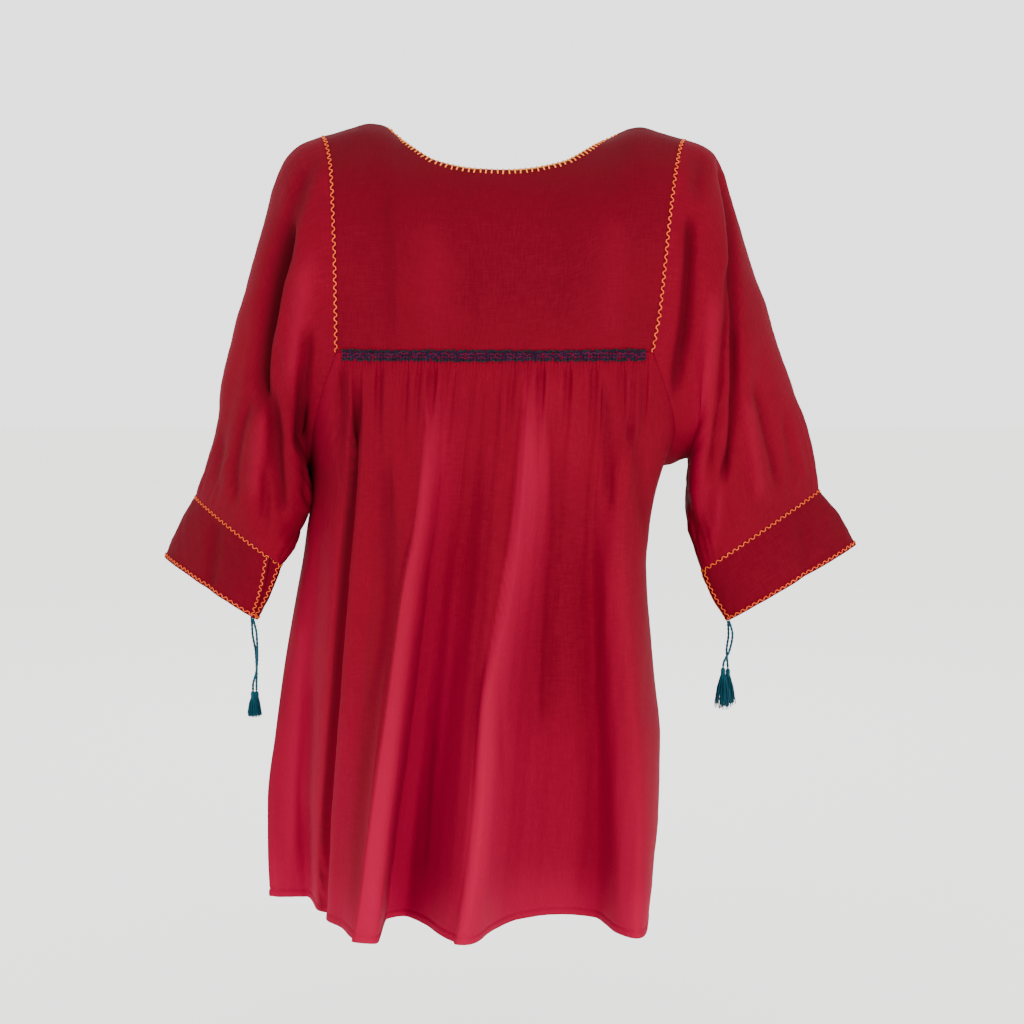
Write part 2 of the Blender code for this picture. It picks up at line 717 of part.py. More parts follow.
def sleeve(collection, hand, colour):
    """One sleeve, a tube from the armhole to just above the cuff."""
    ways = [(i / SLEEVE_RINGS) ** 1.15 for i in range(SLEEVE_RINGS + 1)]

    def point(column, row):
        turn = 2.0 * (column % (2 * ARMHOLE_STEPS)) / (2 * ARMHOLE_STEPS)
        spot = sleeve_point(hand, ways[row], turn)
        if row == SLEEVE_RINGS:
            along = sleeve_point(hand, ways[row - 1], turn) - spot
            below = cuff_point(hand, turn, 0.2) - cuff_point(hand, turn, 0.0)
            spot += along.normalized() * seam_clearance(along, below)
        return spot

    return cloth(collection, "sleeve_" + hand, 2 * ARMHOLE_STEPS, SLEEVE_RINGS, point, colour,
                 closed=True, turned=hand == "left")


def cuff(collection, hand, colour):
    """One cuff, a band round the arm whose ends stand apart at the slit."""
    columns = 2 * ARMHOLE_STEPS

    def point(column, row):
        fall = row / CUFF_ROWS
        turn = mix(cuff_end(hand, "far", fall), cuff_end(hand, "near", fall), column / columns)
        return cuff_point(hand, turn, fall)

    return cloth(collection, "cuff_" + hand, columns, CUFF_ROWS, point, colour, turned=hand == "left")


def cord_point(name, drop):
    """Point of a tie cord at a drop below its start, just under its end of the cuff."""
    _, hand, letter = name.split("_")
    end = "near" if letter == "a" else "far"
    corner = cuff_point(hand, cuff_end(hand, end, 1.0), 1.0)
    start = corner + DOWN * (SEAM_GAP + 0.5 * WALL)
    rows = CORDS[name]
    return start + Vector((rows.at("across", drop), rows.at("out", drop), -drop))


def cord_length(name):
    """How far down a cord reaches."""
    return CORDS[name].rows[-1][0]


def cord(collection, name, colour):
    """One tie cord, a round tube along a smooth curve."""
    curve = bpy.data.curves.new(name, "CURVE")
    curve.dimensions = "3D"
    curve.bevel_depth = 0.5 * CORD_DIAMETER
    curve.bevel_resolution = 2
    curve.render_resolution_u = 0
    curve.use_fill_caps = True
    spline = curve.splines.new("POLY")
    spline.points.add(CORD_POINTS - 1)
    for i, spot in enumerate(spline.points):
        spot.co = (*cord_point(name, cord_length(name) * i / (CORD_POINTS - 1)), 1.0)
    return add_object(collection, name, curve, colour, 0.7)


def tassel(collection, name, size, colour):
    """One tassel: a small bound head whose strands hang apart from its underside."""
    bm = bmesh.new()
    bmesh.ops.create_grid(bm, x_segments=TASSEL_GRID, y_segments=TASSEL_GRID, size=1.0)
    for vert in bm.verts:
        x, y = vert.co.x, vert.co.y
        vert.co.x, vert.co.y = x * math.sqrt(1.0 - 0.5 * y * y), y * math.sqrt(1.0 - 0.5 * x * x)
    roots = list(bm.faces)
    layer, width = roots, 1.0
    head = TASSEL_HEAD.dicts()
    bmesh.ops.scale(bm, vec=(head[0]["width"], head[0]["width"], 1.0), verts=bm.verts)
    for below, above in zip(head, head[1:]):
        grown = bmesh.ops.extrude_face_region(bm, geom=layer, use_keep_orig=layer is roots)
        verts = [item for item in grown["geom"] if isinstance(item, bmesh.types.BMVert)]
        width = above["width"] / below["width"]
        bmesh.ops.scale(bm, vec=(width, width, 1.0), verts=verts)
        bmesh.ops.translate(bm, vec=(0.0, 0.0, above["up"] - below["up"]), verts=verts)
        if layer is not roots:
            bmesh.ops.delete(bm, geom=[face for face in layer if face.is_valid], context="FACES_ONLY")
        layer = [item for item in grown["geom"] if isinstance(item, bmesh.types.BMFace)]
    bmesh.ops.recalc_face_normals(bm, faces=bm.faces)
    bmesh.ops.inset_individual(bm, faces=roots, thickness=STRAND_INSET)
    strands = roots
    widths = [mix(head[0]["width"], size["spread"], i / STRAND_STEPS) for i in range(STRAND_STEPS + 1)]
    fall = (size["length"] - head[-1]["up"]) / STRAND_STEPS
    for before, after in zip(widths, widths[1:]):
        strands = bmesh.ops.extrude_discrete_faces(bm, faces=strands)["faces"]
        for face in strands:
            centre = face.calc_center_median()
            outward = Vector((centre.x, centre.y, 0.0)) * (after / before - 1.0)
            uneven = 1.0 - 0.05 * math.sin(5.0 * math.atan2(centre.y, centre.x)) ** 2
            bmesh.ops.translate(bm, vec=outward + DOWN * fall * uneven, verts=face.verts)
    top = cord_point(size["cord"], cord_length(size["cord"]))
    place = top + DOWN * (SEAM_GAP + head[-1]["up"])
    bmesh.ops.translate(bm, vec=place, verts=bm.verts)
    mesh = bpy.data.meshes.new(name)
    bm.to_mesh(mesh)
    bm.free()
    return add_object(collection, name, mesh, colour, 0.8)


def build():
    """Make every sub-part of the blouse."""
    crimson, deep_crimson, teal = (0.36, 0.004, 0.012), (0.30, 0.002, 0.010), (0.004, 0.07, 0.12)
    collection = parts_collection()
    for side in SIDES:
        yoke(collection, side, deep_crimson)
        panel(collection, side, crimson)
    for hand in HANDS:
        sleeve(collection, hand, crimson)
        cuff(collection, hand, deep_crimson)
    for name in CORDS:
        cord(collection, name, teal)
    for name, size in TASSELS.items():
        tassel(collection, name, size, teal)


build()
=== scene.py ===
"""Looks of a crimson peasant blouse, worn form, seen from the back.

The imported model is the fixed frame. Each cloth piece is a thin shell on its solid's own
surface, with the folds and gathers of the photograph pressed into it. The hand sewing is
real thread: orange waves along the seams, a blanket stitch round the neck, dark blue
gathering stitches over the band below the yokes, teal tie cords with tassels.
Metres, +Z up, the wearer's back towards -Y. A drop is a height below the shoulders.
"""

from __future__ import annotations

import logging
import math
from collections.abc import Callable
from dataclasses import dataclass, field
from enum import Enum

import bmesh
import bpy
import numpy as np
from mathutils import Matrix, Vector

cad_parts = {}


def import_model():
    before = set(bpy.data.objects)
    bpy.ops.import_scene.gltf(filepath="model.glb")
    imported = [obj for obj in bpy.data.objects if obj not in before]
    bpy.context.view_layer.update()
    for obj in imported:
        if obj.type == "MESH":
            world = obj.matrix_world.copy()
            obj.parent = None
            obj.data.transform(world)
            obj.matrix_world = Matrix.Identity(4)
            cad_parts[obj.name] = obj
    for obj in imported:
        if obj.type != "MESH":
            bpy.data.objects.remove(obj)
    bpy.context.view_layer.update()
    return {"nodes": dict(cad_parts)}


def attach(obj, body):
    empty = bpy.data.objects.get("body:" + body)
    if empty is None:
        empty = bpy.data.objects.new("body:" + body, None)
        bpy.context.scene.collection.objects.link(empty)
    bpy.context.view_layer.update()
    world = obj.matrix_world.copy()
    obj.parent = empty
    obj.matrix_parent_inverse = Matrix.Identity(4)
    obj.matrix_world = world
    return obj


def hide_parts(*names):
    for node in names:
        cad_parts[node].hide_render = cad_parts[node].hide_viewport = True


LOG = logging.getLogger("blouse")
Array = np.ndarray
ROOT = "root"
WALL = 0.0011
MILLIMETRES = 1000.0


class Named(Enum):
    """Choice whose lower-case name the nodes and tables use."""

    @property
    def word(self) -> str:
        """Lower-case name."""
        return self.name.lower()


class Side(Named):
    """Half of the blouse, valued by the way that its outer face looks along Y."""

    BACK = -1.0
    FRONT = 1.0


class Hand(Named):
    """Sleeve, valued by its way along X as the back is seen."""

    LEFT = -1.0
    RIGHT = 1.0


def mix(start: Array | float, end: Array | float, share: Array | float) -> Array:
    """Value a share of the way from start to end."""
    return start + (end - start) * share


def ease(share: Array | float) -> Array:
    """Share from 0 to 1 that starts and ends slowly."""
    share = np.clip(share, 0.0, 1.0)
    return share * share * (3.0 - 2.0 * share)


def window(place: Array, start: float, rising: float, end: float, falling: float) -> Array:
    """Weight that rises over a length from the start and falls away over a length to the end."""
    return ease((place - start) / rising) * ease((end - place) / falling)


def inside(share: Array, reach: float) -> Array:
    """Weight that is 0 at both ends of a share and 1 from a reach inside them."""
    return window(share, 0.0, reach, 1.0, reach)


def bell(away: Array) -> Array:
    """Bell curve: 1 in the middle, 0.37 at a distance of 1."""
    return np.exp(-away * away)


def stepped(stops: tuple[float, ...], counts: tuple[int, ...]) -> Array:
    """Places from the first stop to the last, with a count of even steps between each two."""
    parts = [np.linspace(start, end, count, endpoint=False)
             for start, end, count in zip(stops, stops[1:], counts)]
    return np.concatenate([*parts, stops[-1:]])


def run_lengths(points: Array) -> Array:
    """Length along a run of points, at each of them."""
    return np.concatenate([[0.0], np.cumsum(np.linalg.norm(np.diff(points, axis=0), axis=1))])


def unit(vectors: Array) -> Array:
    """Vectors of length 1 along the last axis."""
    return vectors / np.maximum(np.linalg.norm(vectors, axis=-1, keepdims=True), 1e-9)


def waver(place: Array, seed: float) -> Array:
    """Slow uneven swing between about -1 and 1 over a place counted in swings."""
    return (np.sin(6.283 * place + seed) + 0.6 * np.sin(10.17 * place + 2.3 * seed)
            + 0.4 * np.sin(23.9 * place + 5.1 * seed)) / 2.0


@dataclass(frozen=True)
class Gathers:
    """Row of rounded gathers that fades in and out below a seam.

    They wander by a sway, in so many swings. The power rounds them, and the middle lowers
    them. They rise over a length from the start and fall away over a length to the end.
    """

    rise: float
    count: float
    sway: float
    swings: float
    seed: float
    power: float
    middle: float
    start: float
    rising: float
    end: float
    falling: float

    def lift(self, place: Array, depth: Array, seed: float) -> Array:
        """How far the gathers lift the cloth at places across and depths below the seam."""
        swing = place * self.count + self.sway * waver(place * self.swings, self.seed + seed)
        rows = self.rise * (np.abs(np.sin(math.pi * swing)) ** self.power - self.middle)
        return rows * window(depth, self.start, self.rising, self.end, self.falling)


@dataclass(frozen=True)
class Wrinkles:
    """Slight wrinkles, with the distances across and down that one swing of them takes."""

    rise: float
    across: float
    down: float
    seed: float

    def lift(self, across: Array, down: Array) -> Array:
        """How far the wrinkles lift the cloth at each place."""
        return self.rise * waver(across / self.across + down / self.down, self.seed)


BODY_GATHERS = Gathers(rise=0.0008, count=31.0, sway=0.8, swings=3.0, seed=0.4, power=1.2, middle=0.5,
                       start=0.008, rising=0.014, end=0.120, falling=0.09)
BODY_RIBS = Gathers(rise=0.0010, count=17.0, sway=0.9, swings=2.0, seed=1.9, power=1.3, middle=0.5,
                    start=0.012, rising=0.03, end=0.24, falling=0.17)
SLEEVE_GATHERS = Gathers(rise=0.0010, count=15.0, sway=0.7, swings=2.0, seed=0.0, power=0.9, middle=0.45,
                         start=0.70, rising=0.22, end=1.0, falling=0.03)
BODY_LONG_WRINKLES = Wrinkles(rise=0.0006, across=0.045, down=0.55, seed=3.0)
BODY_CROSS_WRINKLES = Wrinkles(rise=0.00045, across=-0.16, down=0.085, seed=1.2)
YOKE_LONG_WRINKLES = Wrinkles(rise=0.0005, across=0.085, down=0.30, seed=0.7)
YOKE_CROSS_WRINKLES = Wrinkles(rise=0.0003, across=-0.19, down=0.07, seed=2.1)
SLEEVE_WRINKLES = Wrinkles(rise=0.0006, across=0.35, down=0.17, seed=0.9)


@dataclass(frozen=True)
class Rows:
    """Rows of numbers under named columns, read as smooth curves over the first column."""

    columns: str
    rows: tuple[tuple[float, ...], ...]

    def column(self, name: str) -> Array:
        """Numbers of one column."""
        return np.array([row[self.columns.split().index(name)] for row in self.rows])

    def at(self, name: str, key: Array | float) -> Array:
        """Read a column at places of the first column.

        Args:
            name: the column to read.
            key: places along the first column.

        Returns:
            The column there, on a curve that never swings past its own rows.
        """
        keys, values = self.column(self.columns.split()[0]), self.column(name)
        key = np.clip(key, keys[0], keys[-1])
        steps = np.diff(values) / np.diff(keys)
        before, after = steps[:-1], steps[1:]
        same_way = before * after > 0.0
        inner = np.where(same_way, 2.0 * before * after / np.where(same_way, before + after, 1.0), 0.0)
        slopes = np.concatenate([steps[:1], inner, steps[-1:]])
        i = np.clip(np.searchsorted(keys, key, side="right") - 1, 0, len(steps) - 1)
        span = keys[i + 1] - keys[i]
        t = (key - keys[i]) / span
        rise = values[i + 1] - values[i]
        near, far = slopes[i] * span, slopes[i + 1] * span
        return values[i] + t * (near + t * (3 * rise - 2 * near - far + t * (near + far - 2 * rise)))


def table(columns: str, plain: str, rows: tuple[tuple[float, ...], ...]) -> Rows:
    """Rows given in millimetres, kept in metres, apart from the plain columns."""
    scales = [1.0 if name in plain.split() else MILLIMETRES for name in columns.split()]
    return Rows(columns, tuple(tuple(cell / scale for cell, scale in zip(row, scales)) for row in rows))


YOKE_DROP = 0.222
UNDERARM_DROP = 0.340
HEM_DROP = 0.7865
CHEST_LEFT, CHEST_RIGHT = -0.203, 0.184
CHEST_SQUARENESS = 3.0
CHEST_DEPTH = {Side.BACK: 0.105, Side.FRONT: 0.120}
ARMHOLE_ROUNDNESS = 1.8
NECK_LEFT, NECK_RIGHT = -0.109, 0.108
GATHERS = 24
EDGE_REACH = 0.45
BAND_WIDTH = 0.31
ROWS_TO_RIDGE = 1.25
SLEEVE_SIZE = np.array([0.42, 0.24])
CUFF_BULGE = 0.0028

BODY = table("drop left right flute", "flute", (
    (222, -203, 184, 0), (290, -199, 176, 0.09), (342, -193, 156, 0.17),
    (370, -193.5, 148, 0.22), (405, -198.5, 142.5, 0.29), (430, -202, 139, 0.34),
    (470, -209.5, 141.5, 0.41), (542, -222.5, 148.5, 0.54), (615, -233, 155, 0.68),
    (687, -242, 152.5, 0.82), (740, -242.5, 146.5, 0.92), (786.5, -241, 140, 1),
))

HEM = {
    Side.BACK: table("share across out", "share", (
        (0, -241, -12), (0.045, -231, -8), (0.11, -203, -10), (0.185, -186, 50), (0.235, -172, 82),
        (0.29, -160, 100), (0.345, -142, 146), (0.375, -129, 152), (0.42, -123, 70), (0.44, -102, 61),
        (0.468, -81, 84), (0.515, -56, 138), (0.535, -43, 154), (0.575, -19, 114), (0.62, 16, 70),
        (0.665, 56, 55), (0.705, 90, 66), (0.75, 112, 120), (0.78, 128, 138), (0.84, 138.5, 108),
        (0.92, 142.5, 48), (1, 140, -10),
    )),
    Side.FRONT: table("share across out", "share", (
        (0, -241, 12), (0.06, -242.5, 48), (0.12, -224, 98), (0.19, -197, 122), (0.25, -174, 99),
        (0.3, -149, 92), (0.36, -122, 134), (0.41, -98, 157), (0.46, -77, 128), (0.51, -53, 98),
        (0.57, -25, 106), (0.63, 4, 148), (0.67, 22, 160), (0.72, 44, 124), (0.77, 66, 97),
        (0.83, 92, 114), (0.88, 115, 138), (0.93, 135, 108), (0.97, 142, 58), (1, 140, 10),
    )),
}

BODY_ROWS = table("depth fine fold", "fold", (
    (0, 0, 0), (5.5, 0.8, 0.05), (11, 0.9, 0.15), (22, 1.8, 0.6), (45, 1.4, 1), (80, 0.6, 1),
    (130, 0, 0.85), (190, 0, 0.62), (260, 0, 0.42), (330, 0, 0.26), (400, 0, 0.14), (475, 0, 0.06),
    (549, 0, 0),
))

GATHER_FOLDS = {
    Side.BACK: table("across rise reach", "", (
        (-148, 5, 10), (-129, 4.2, 9), (-104, 5, 10), (-78, 3.8, 10), (-54, 6.2, 12), (-27, 3.4, 10),
        (-3, 5.2, 10), (21, 6, 12), (45, 4.8, 10), (70, 4.4, 10), (96, 5.6, 12), (126, 5, 11),
    )),
    Side.FRONT: table("across rise reach", "", (
        (-145, 4.6, 10), (-121, 5.4, 11), (-96, 4, 9), (-73, 5.6, 11), (-47, 4.8, 10), (-22, 6, 12),
        (4, 4.2, 10), (29, 5.6, 11), (53, 4, 9), (76, 5.8, 11), (101, 4.6, 10), (125, 5.2, 10),
    )),
}

YOKE = table("rise drop back front left right", "rise back front", (
    (0, 222, 1, 1, -161.2, 143.2), (0.17, 181, 1.01, 0.98, -161.4, 150),
    (0.33, 141, 1, 0.94, -161.8, 154.2), (0.49, 102, 0.95, 0.86, -163, 158),
    (0.62, 71, 0.85, 0.75, -164.5, 161.8), (0.74, 44, 0.68, 0.6, -166.7, 165.8),
    (0.84, 23, 0.46, 0.42, -170.5, 170), (0.92, 8, 0.23, 0.22, -175.2, 174.3),
    (1, 0, 0, 0, -179.9, 178.6),
))

RIDGE = table("across drop", "", (
    (-185, 14.5), (-172, 11.8), (-152, 5.9), (-132.3, 1), (-122.4, 2), (-112.6, 6), (-100, 14),
    (95, 17), (106, 14), (114.8, 9.8), (124.6, 5.9), (134.5, 4.5), (154.3, 9.8), (174.1, 15.5),
    (185, 18),
))

NECK = table("across back front", "", (
    (-109, 11, 11), (-102.1, 18.2, 32), (-91.7, 26.5, 52), (-81.3, 33.8, 69), (-71.3, 38.9, 81),
    (-51.8, 43.9, 95), (-32.4, 46.9, 102), (0, 48.4, 105), (25.3, 46.9, 103.5), (44.6, 43.9, 97),
    (64.1, 38.9, 85), (74, 33.9, 77), (84, 27.8, 66), (94.3, 21.3, 48), (102, 17.5, 28),
    (108, 14, 14),
))

SLEEVE_COLUMNS = "way outer_x outer_y outer_drop inner_x inner_y inner_drop back front"
SLEEVES = {
    Hand.LEFT: table(SLEEVE_COLUMNS, "way", (
        (0, -179.9, 0, 13, -193, 0, 340, 96, 106), (0.06, -201.7, 0, 21.6, -198.5, 0, 342.5, 93, 101),
        (0.12, -217.5, 0, 37.5, -197.5, 0, 349, 89, 96), (0.2, -228.9, 0, 65.7, -194, 0, 357, 84, 90),
        (0.3, -241.4, 0, 110, -191.5, -6, 365, 79, 84),
        (0.42, -255.8, 2, 159.5, -191.2, -10, 373, 73, 77),
        (0.54, -270.5, 6, 209.4, -193.5, -12, 382, 67, 70),
        (0.66, -283, 14, 260, -198.5, -14, 392, 60, 63),
        (0.78, -288, 26, 305, -206.2, -18, 404, 52, 54), (0.9, -300, 46, 347, -214.2, -30, 419, 40, 42),
        (1, -315, 62, 378.6, -224, -32, 435, 26, 26),
    )),
    Hand.RIGHT: table(SLEEVE_COLUMNS, "way", (
        (0, 178.6, 0, 17, 156, 0, 342, 96, 106), (0.06, 195, 0, 22.5, 165.5, 0, 340.5, 93, 101),
        (0.12, 207.9, 0, 31.4, 176.7, 0, 335.4, 89, 96), (0.2, 217.5, 0, 51, 184, 0, 333, 84, 90),
        (0.3, 230.3, 0, 91.3, 188, 0, 335.5, 79, 84), (0.4, 244.8, 1, 137.7, 188.5, -1, 343, 74, 78),
        (0.5, 259.5, 3, 176.4, 187, -3, 355, 69, 72), (0.6, 272.5, 8, 216.5, 185, -4, 368, 63, 66),
        (0.72, 288.5, 16, 260, 183.7, -6, 385, 55, 58), (0.84, 305.2, 24, 303, 185.5, -7, 401, 46, 48),
        (0.93, 315, 31, 339, 191.5, -6, 420, 36, 37), (1, 320.3, 36, 368.6, 199.5, -4, 445.4, 24, 24),
    )),
}

SLEEVE_CREASES = {
    Hand.LEFT: (
        (0.34, 0.46, 0.92, 0.76, 0.0050, 0.016),
        (0.48, 0.24, 0.98, 0.33, 0.0030, 0.015),
        (0.10, 0.70, 0.52, 0.86, 0.0060, 0.014),
        (0.38, 1.58, 0.90, 1.34, 0.0110, 0.017),
        (0.50, 1.78, 0.96, 1.68, 0.0060, 0.016),
    ),
    Hand.RIGHT: (
        (0.42, 0.42, 0.86, 0.58, 0.0030, 0.013),
        (0.50, 0.58, 0.90, 0.72, 0.0030, 0.014),
        (0.56, 0.30, 0.92, 0.40, 0.0020, 0.014),
        (0.40, 1.60, 0.88, 1.40, 0.0100, 0.016),
        (0.52, 1.76, 0.94, 1.66, 0.0060, 0.016),
    ),
}


@dataclass(frozen=True)
class CuffSize:
    """Lower edge of a cuff and the turns of its two ends beside the slit."""

    outer: tuple[float, float, float]
    inner: tuple[float, float, float]
    swell: float
    near: tuple[float, float]
    far: tuple[float, float]


CUFFS = {
    Hand.LEFT: CuffSize((-0.3505, 0.079, -0.4444), (-0.2515, -0.015, -0.4925), 0.026,
                        (0.87, 0.985), (-1.11, -1.02)),
    Hand.RIGHT: CuffSize((0.3613, 0.052, -0.4272), (0.2275, 0.010, -0.4990), 0.024,
                         (0.975, 0.965), (-1.01, -1.00)),
}


@dataclass
class ChestPlan:
    """Plan of one half of the body at the yoke seam: a squared oval, left to right."""

    side: Side
    line: Array = field(init=False)
    shares: Array = field(init=False)

    def __post_init__(self) -> None:
        """Work out the line and the share of its length at each point."""
        angle = np.linspace(0.0, math.pi, 401)
        across, out = np.cos(angle), np.sin(angle)
        power = 2.0 / CHEST_SQUARENESS
        middle, half = mix(CHEST_LEFT, CHEST_RIGHT, 0.5), 0.5 * (CHEST_RIGHT - CHEST_LEFT)
        x = middle - half * np.copysign(np.abs(across) ** power, across)
        y = self.side.value * CHEST_DEPTH[self.side] * np.abs(out) ** power
        self.line = np.stack([x, y], axis=-1)
        lengths = run_lengths(self.line)
        self.shares = lengths / lengths[-1]

    def x(self, share: Array | float) -> Array:
        """Place across at a share of the half's length."""
        return np.interp(share, self.shares, self.line[:, 0])

    def y(self, share: Array | float) -> Array:
        """Place out at a share of the half's length."""
        return np.interp(share, self.shares, self.line[:, 1])

    def share_at(self, x: float) -> float:
        """Share of the half's length at a place across."""
        return float(self.shares[int(np.argmax(self.line[:, 0] >= x))])


CHEST = {side: ChestPlan(side) for side in Side}


@dataclass(frozen=True)
class Fold:
    """Soft ridge (rise above 0) or trough that runs down a piece of cloth, in millimetres.

    The line's points are (drop, across), reach is the half width, fade the length over
    which each end runs out, and a lean above 0 makes the side towards +X the wider one.
    """

    rise: float
    reach: float
    line: tuple[tuple[float, float], ...]
    fade: float = 50.0
    lean: float = 0.0

    def lift(self, drop: Array, across: Array) -> Array:
        """How far the fold lifts the cloth at each place, all in metres."""
        drop, across = drop * MILLIMETRES, across * MILLIMETRES
        away = across - Rows("drop across", self.line).at("across", drop)
        away = away / (self.reach * np.where(away > 0.0, 1.0 + self.lean, 1.0 - self.lean))
        start, end = self.line[0][0], self.line[-1][0]
        ends = ease((drop - start) / self.fade + 0.5) * ease((end - drop) / self.fade + 0.5)
        return self.rise / MILLIMETRES * bell(away) * ends


# Painted light: ridges get painted highlight and creases painted shade up to these lifts and limits; the
# yokes get painted shade near the top; the body gets painted light low down and at the hem.
HIGHLIGHT_LIFT, BRIGHTEST_HIGHLIGHT = 0.016, 0.6
SHADE_LIFT, DARKEST_SHADE = 0.017, 0.8
TOP_SHADE_DROP, TOP_PAINTED_SHADE = 0.13, 0.25
LOWER_PAINTED_LIGHT_DROP, LOWER_PAINTED_LIGHT = 0.44, 0.42
HEM_PAINTED_LIGHT_DROP, HEM_PAINTED_LIGHT = 0.72, 0.36


def painted_fold_light(lift: Array) -> Array:
    """Painted light where folds lift the cloth: painted highlight on ridges, painted shade in creases."""
    pale, deep = np.clip(lift / HIGHLIGHT_LIFT, 0.0, BRIGHTEST_HIGHLIGHT), np.clip(lift / SHADE_LIFT, -DARKEST_SHADE, 0.0)
    return np.where(lift > 0.0, pale, deep)


def lifts(folds: tuple[Fold, ...], points: Array) -> Array:
    """Sum of what some folds lift the cloth at each point."""
    return sum((fold.lift(-points[..., 2], points[..., 0]) for fold in folds), np.zeros(points.shape[:-1]))


YOKE_FOLDS = {
    Side.BACK: (
        Fold(-2.2, 6, ((60, -112), (130, -110), (205, -108))),
        Fold(-1.6, 18, ((70, -120), (205, -120))),
        Fold(-1.6, 7, ((120, -30), (205, -27))),
        Fold(1.4, 16, ((90, -70), (205, -64))),
        Fold(-1.2, 10, ((80, 60), (205, 54))),
        Fold(1.4, 14, ((80, 108), (205, 100))),
    ),
    Side.FRONT: (
        Fold(-2, 7, ((70, 114), (205, 106))),
        Fold(-1.6, 12, ((120, 20), (205, 16))),
        Fold(1.4, 15, ((110, -50), (205, -46))),
        Fold(-1.8, 8, ((70, -118), (205, -112))),
    ),
}

BODY_FOLDS = {
    Side.BACK: (
        Fold(-11, 4, ((267, -142), (335, -147), (442, -158), (560, -168), (679, -178), (800, -185)),
             80, 0.3),
        Fold(-4.5, 4.5, ((240, -157), (306, -158)), 30),
        Fold(-5.5, 8.5, ((335, -113), (442, -111), (501, -116), (560, -127), (679, -140), (770, -147))),
        Fold(9, 13, ((290, -73), (383, -83), (442, -94), (560, -110), (679, -127), (820, -145)), 120, 0.85),
        Fold(-1.2, 9, ((335, -29), (442, -35), (560, -50), (679, -53), (770, -64))),
        Fold(11, 17.5, ((280, 20), (393, 9), (451, -1), (550, -19), (679, -29), (820, -48)), 130, 0.88),
        Fold(-3.2, 8, ((272, 44), (335, 49), (383, 50), (442, 46), (520, 42), (579, 40)), 40, 0.25),
        Fold(-4, 5, ((253, 96), (306, 99), (364, 102)), 30),
        Fold(-4.5, 6, ((287, 119), (335, 131), (393, 138)), 40),
        Fold(3.6, 17, ((383, 99), (461, 103), (560, 105), (679, 114), (800, 123)), 160, 0.4),
        Fold(-2, 8, ((422, 72), (540, 76), (679, 80), (760, 75)), 60),
        Fold(2.5, 7, ((501, -202), (599, -210), (740, -217))),
        Fold(-3, 6, ((560, -193), (659, -199), (760, -202)), 40),
        Fold(-0.8, 5, ((599, -72), (740, -79)), 40),
        Fold(-1.4, 4.5, ((481, -7), (560, -10), (619, -4)), 40),
    ),
    Side.FRONT: (
        Fold(-8.5, 5.5, ((262, -136), (384, -148), (502, -160), (640, -172), (780, -182))),
        Fold(7, 11, ((290, -104), (384, -112), (502, -116), (660, -120), (780, -124)), 60, 0.4),
        Fold(-6, 8, ((280, -80), (384, -82), (502, -80), (700, -72))),
        Fold(5.5, 12, ((310, -54), (384, -52), (502, -50), (620, -48)), 60, -0.4),
        Fold(-5.5, 7, ((270, -14), (384, -12), (502, -16), (680, -24))),
        Fold(8, 13, ((290, 10), (384, 14), (502, 16), (660, 20), (780, 22)), 60, 0.5),
        Fold(-5.5, 8, ((290, 50), (384, 54), (502, 60), (700, 68))),
        Fold(6, 11, ((300, 86), (384, 92), (502, 100), (660, 108), (780, 114)), 60, 0.4),
        Fold(-4.5, 6, ((262, 108), (340, 120), (420, 126)), 40),
        Fold(-3, 6, ((480, -190), (600, -204), (740, -210)), 40),
        Fold(-2.6, 5, ((600, 40), (740, 44)), 40),
    ),
}

# Painted light on the back panel, given as folds: a painted shade line along the long crease on the left, and
# painted highlight bands over a lit flute face, on the left side and high on the left.
BODY_PAINTED_LIGHT = {
    Side.BACK: (
        Fold(-150, 2.8, ((267, -143), (335, -148), (442, -159), (560, -169), (679, -179), (800, -186)), 60),
        Fold(400, 26, ((460, -48), (560, -60), (679, -76), (820, -92)), 160),
        Fold(350, 24, ((400, -182), (620, -205), (800, -215)), 140),
        Fold(220, 18, ((220, -172), (340, -190)), 30),
    ),
    Side.FRONT: (),
}

GATHER_TROUGHS = {
    Side.BACK: table("across rise reach end", "", (
        (-136, 2.1, 3.8, 310), (-119.5, 2.6, 3.6, 330), (-98, 2.3, 4, 345), (-67, 2.9, 4.6, 360),
        (-35, 2.3, 4.2, 330), (-10, 2.9, 4, 350), (4, 2, 3.4, 300), (36, 3, 4.4, 370),
        (62, 2.3, 4, 330), (86, 2.6, 4.2, 350), (112, 2.2, 3.8, 320), (131, 2.6, 4, 340),
    )),
    Side.FRONT: table("across rise reach end", "", (
        (-134, 2.3, 3.8, 330), (-109, 2.7, 4.2, 350), (-84, 2.2, 3.8, 320), (-60, 2.9, 4.4, 360),
        (-34, 2.3, 4, 330), (-9, 2.7, 4, 350), (17, 2.1, 3.6, 310), (41, 2.9, 4.4, 360),
        (65, 2.5, 4, 340), (89, 2.3, 4, 330), (113, 2.7, 4, 350),
    )),
}

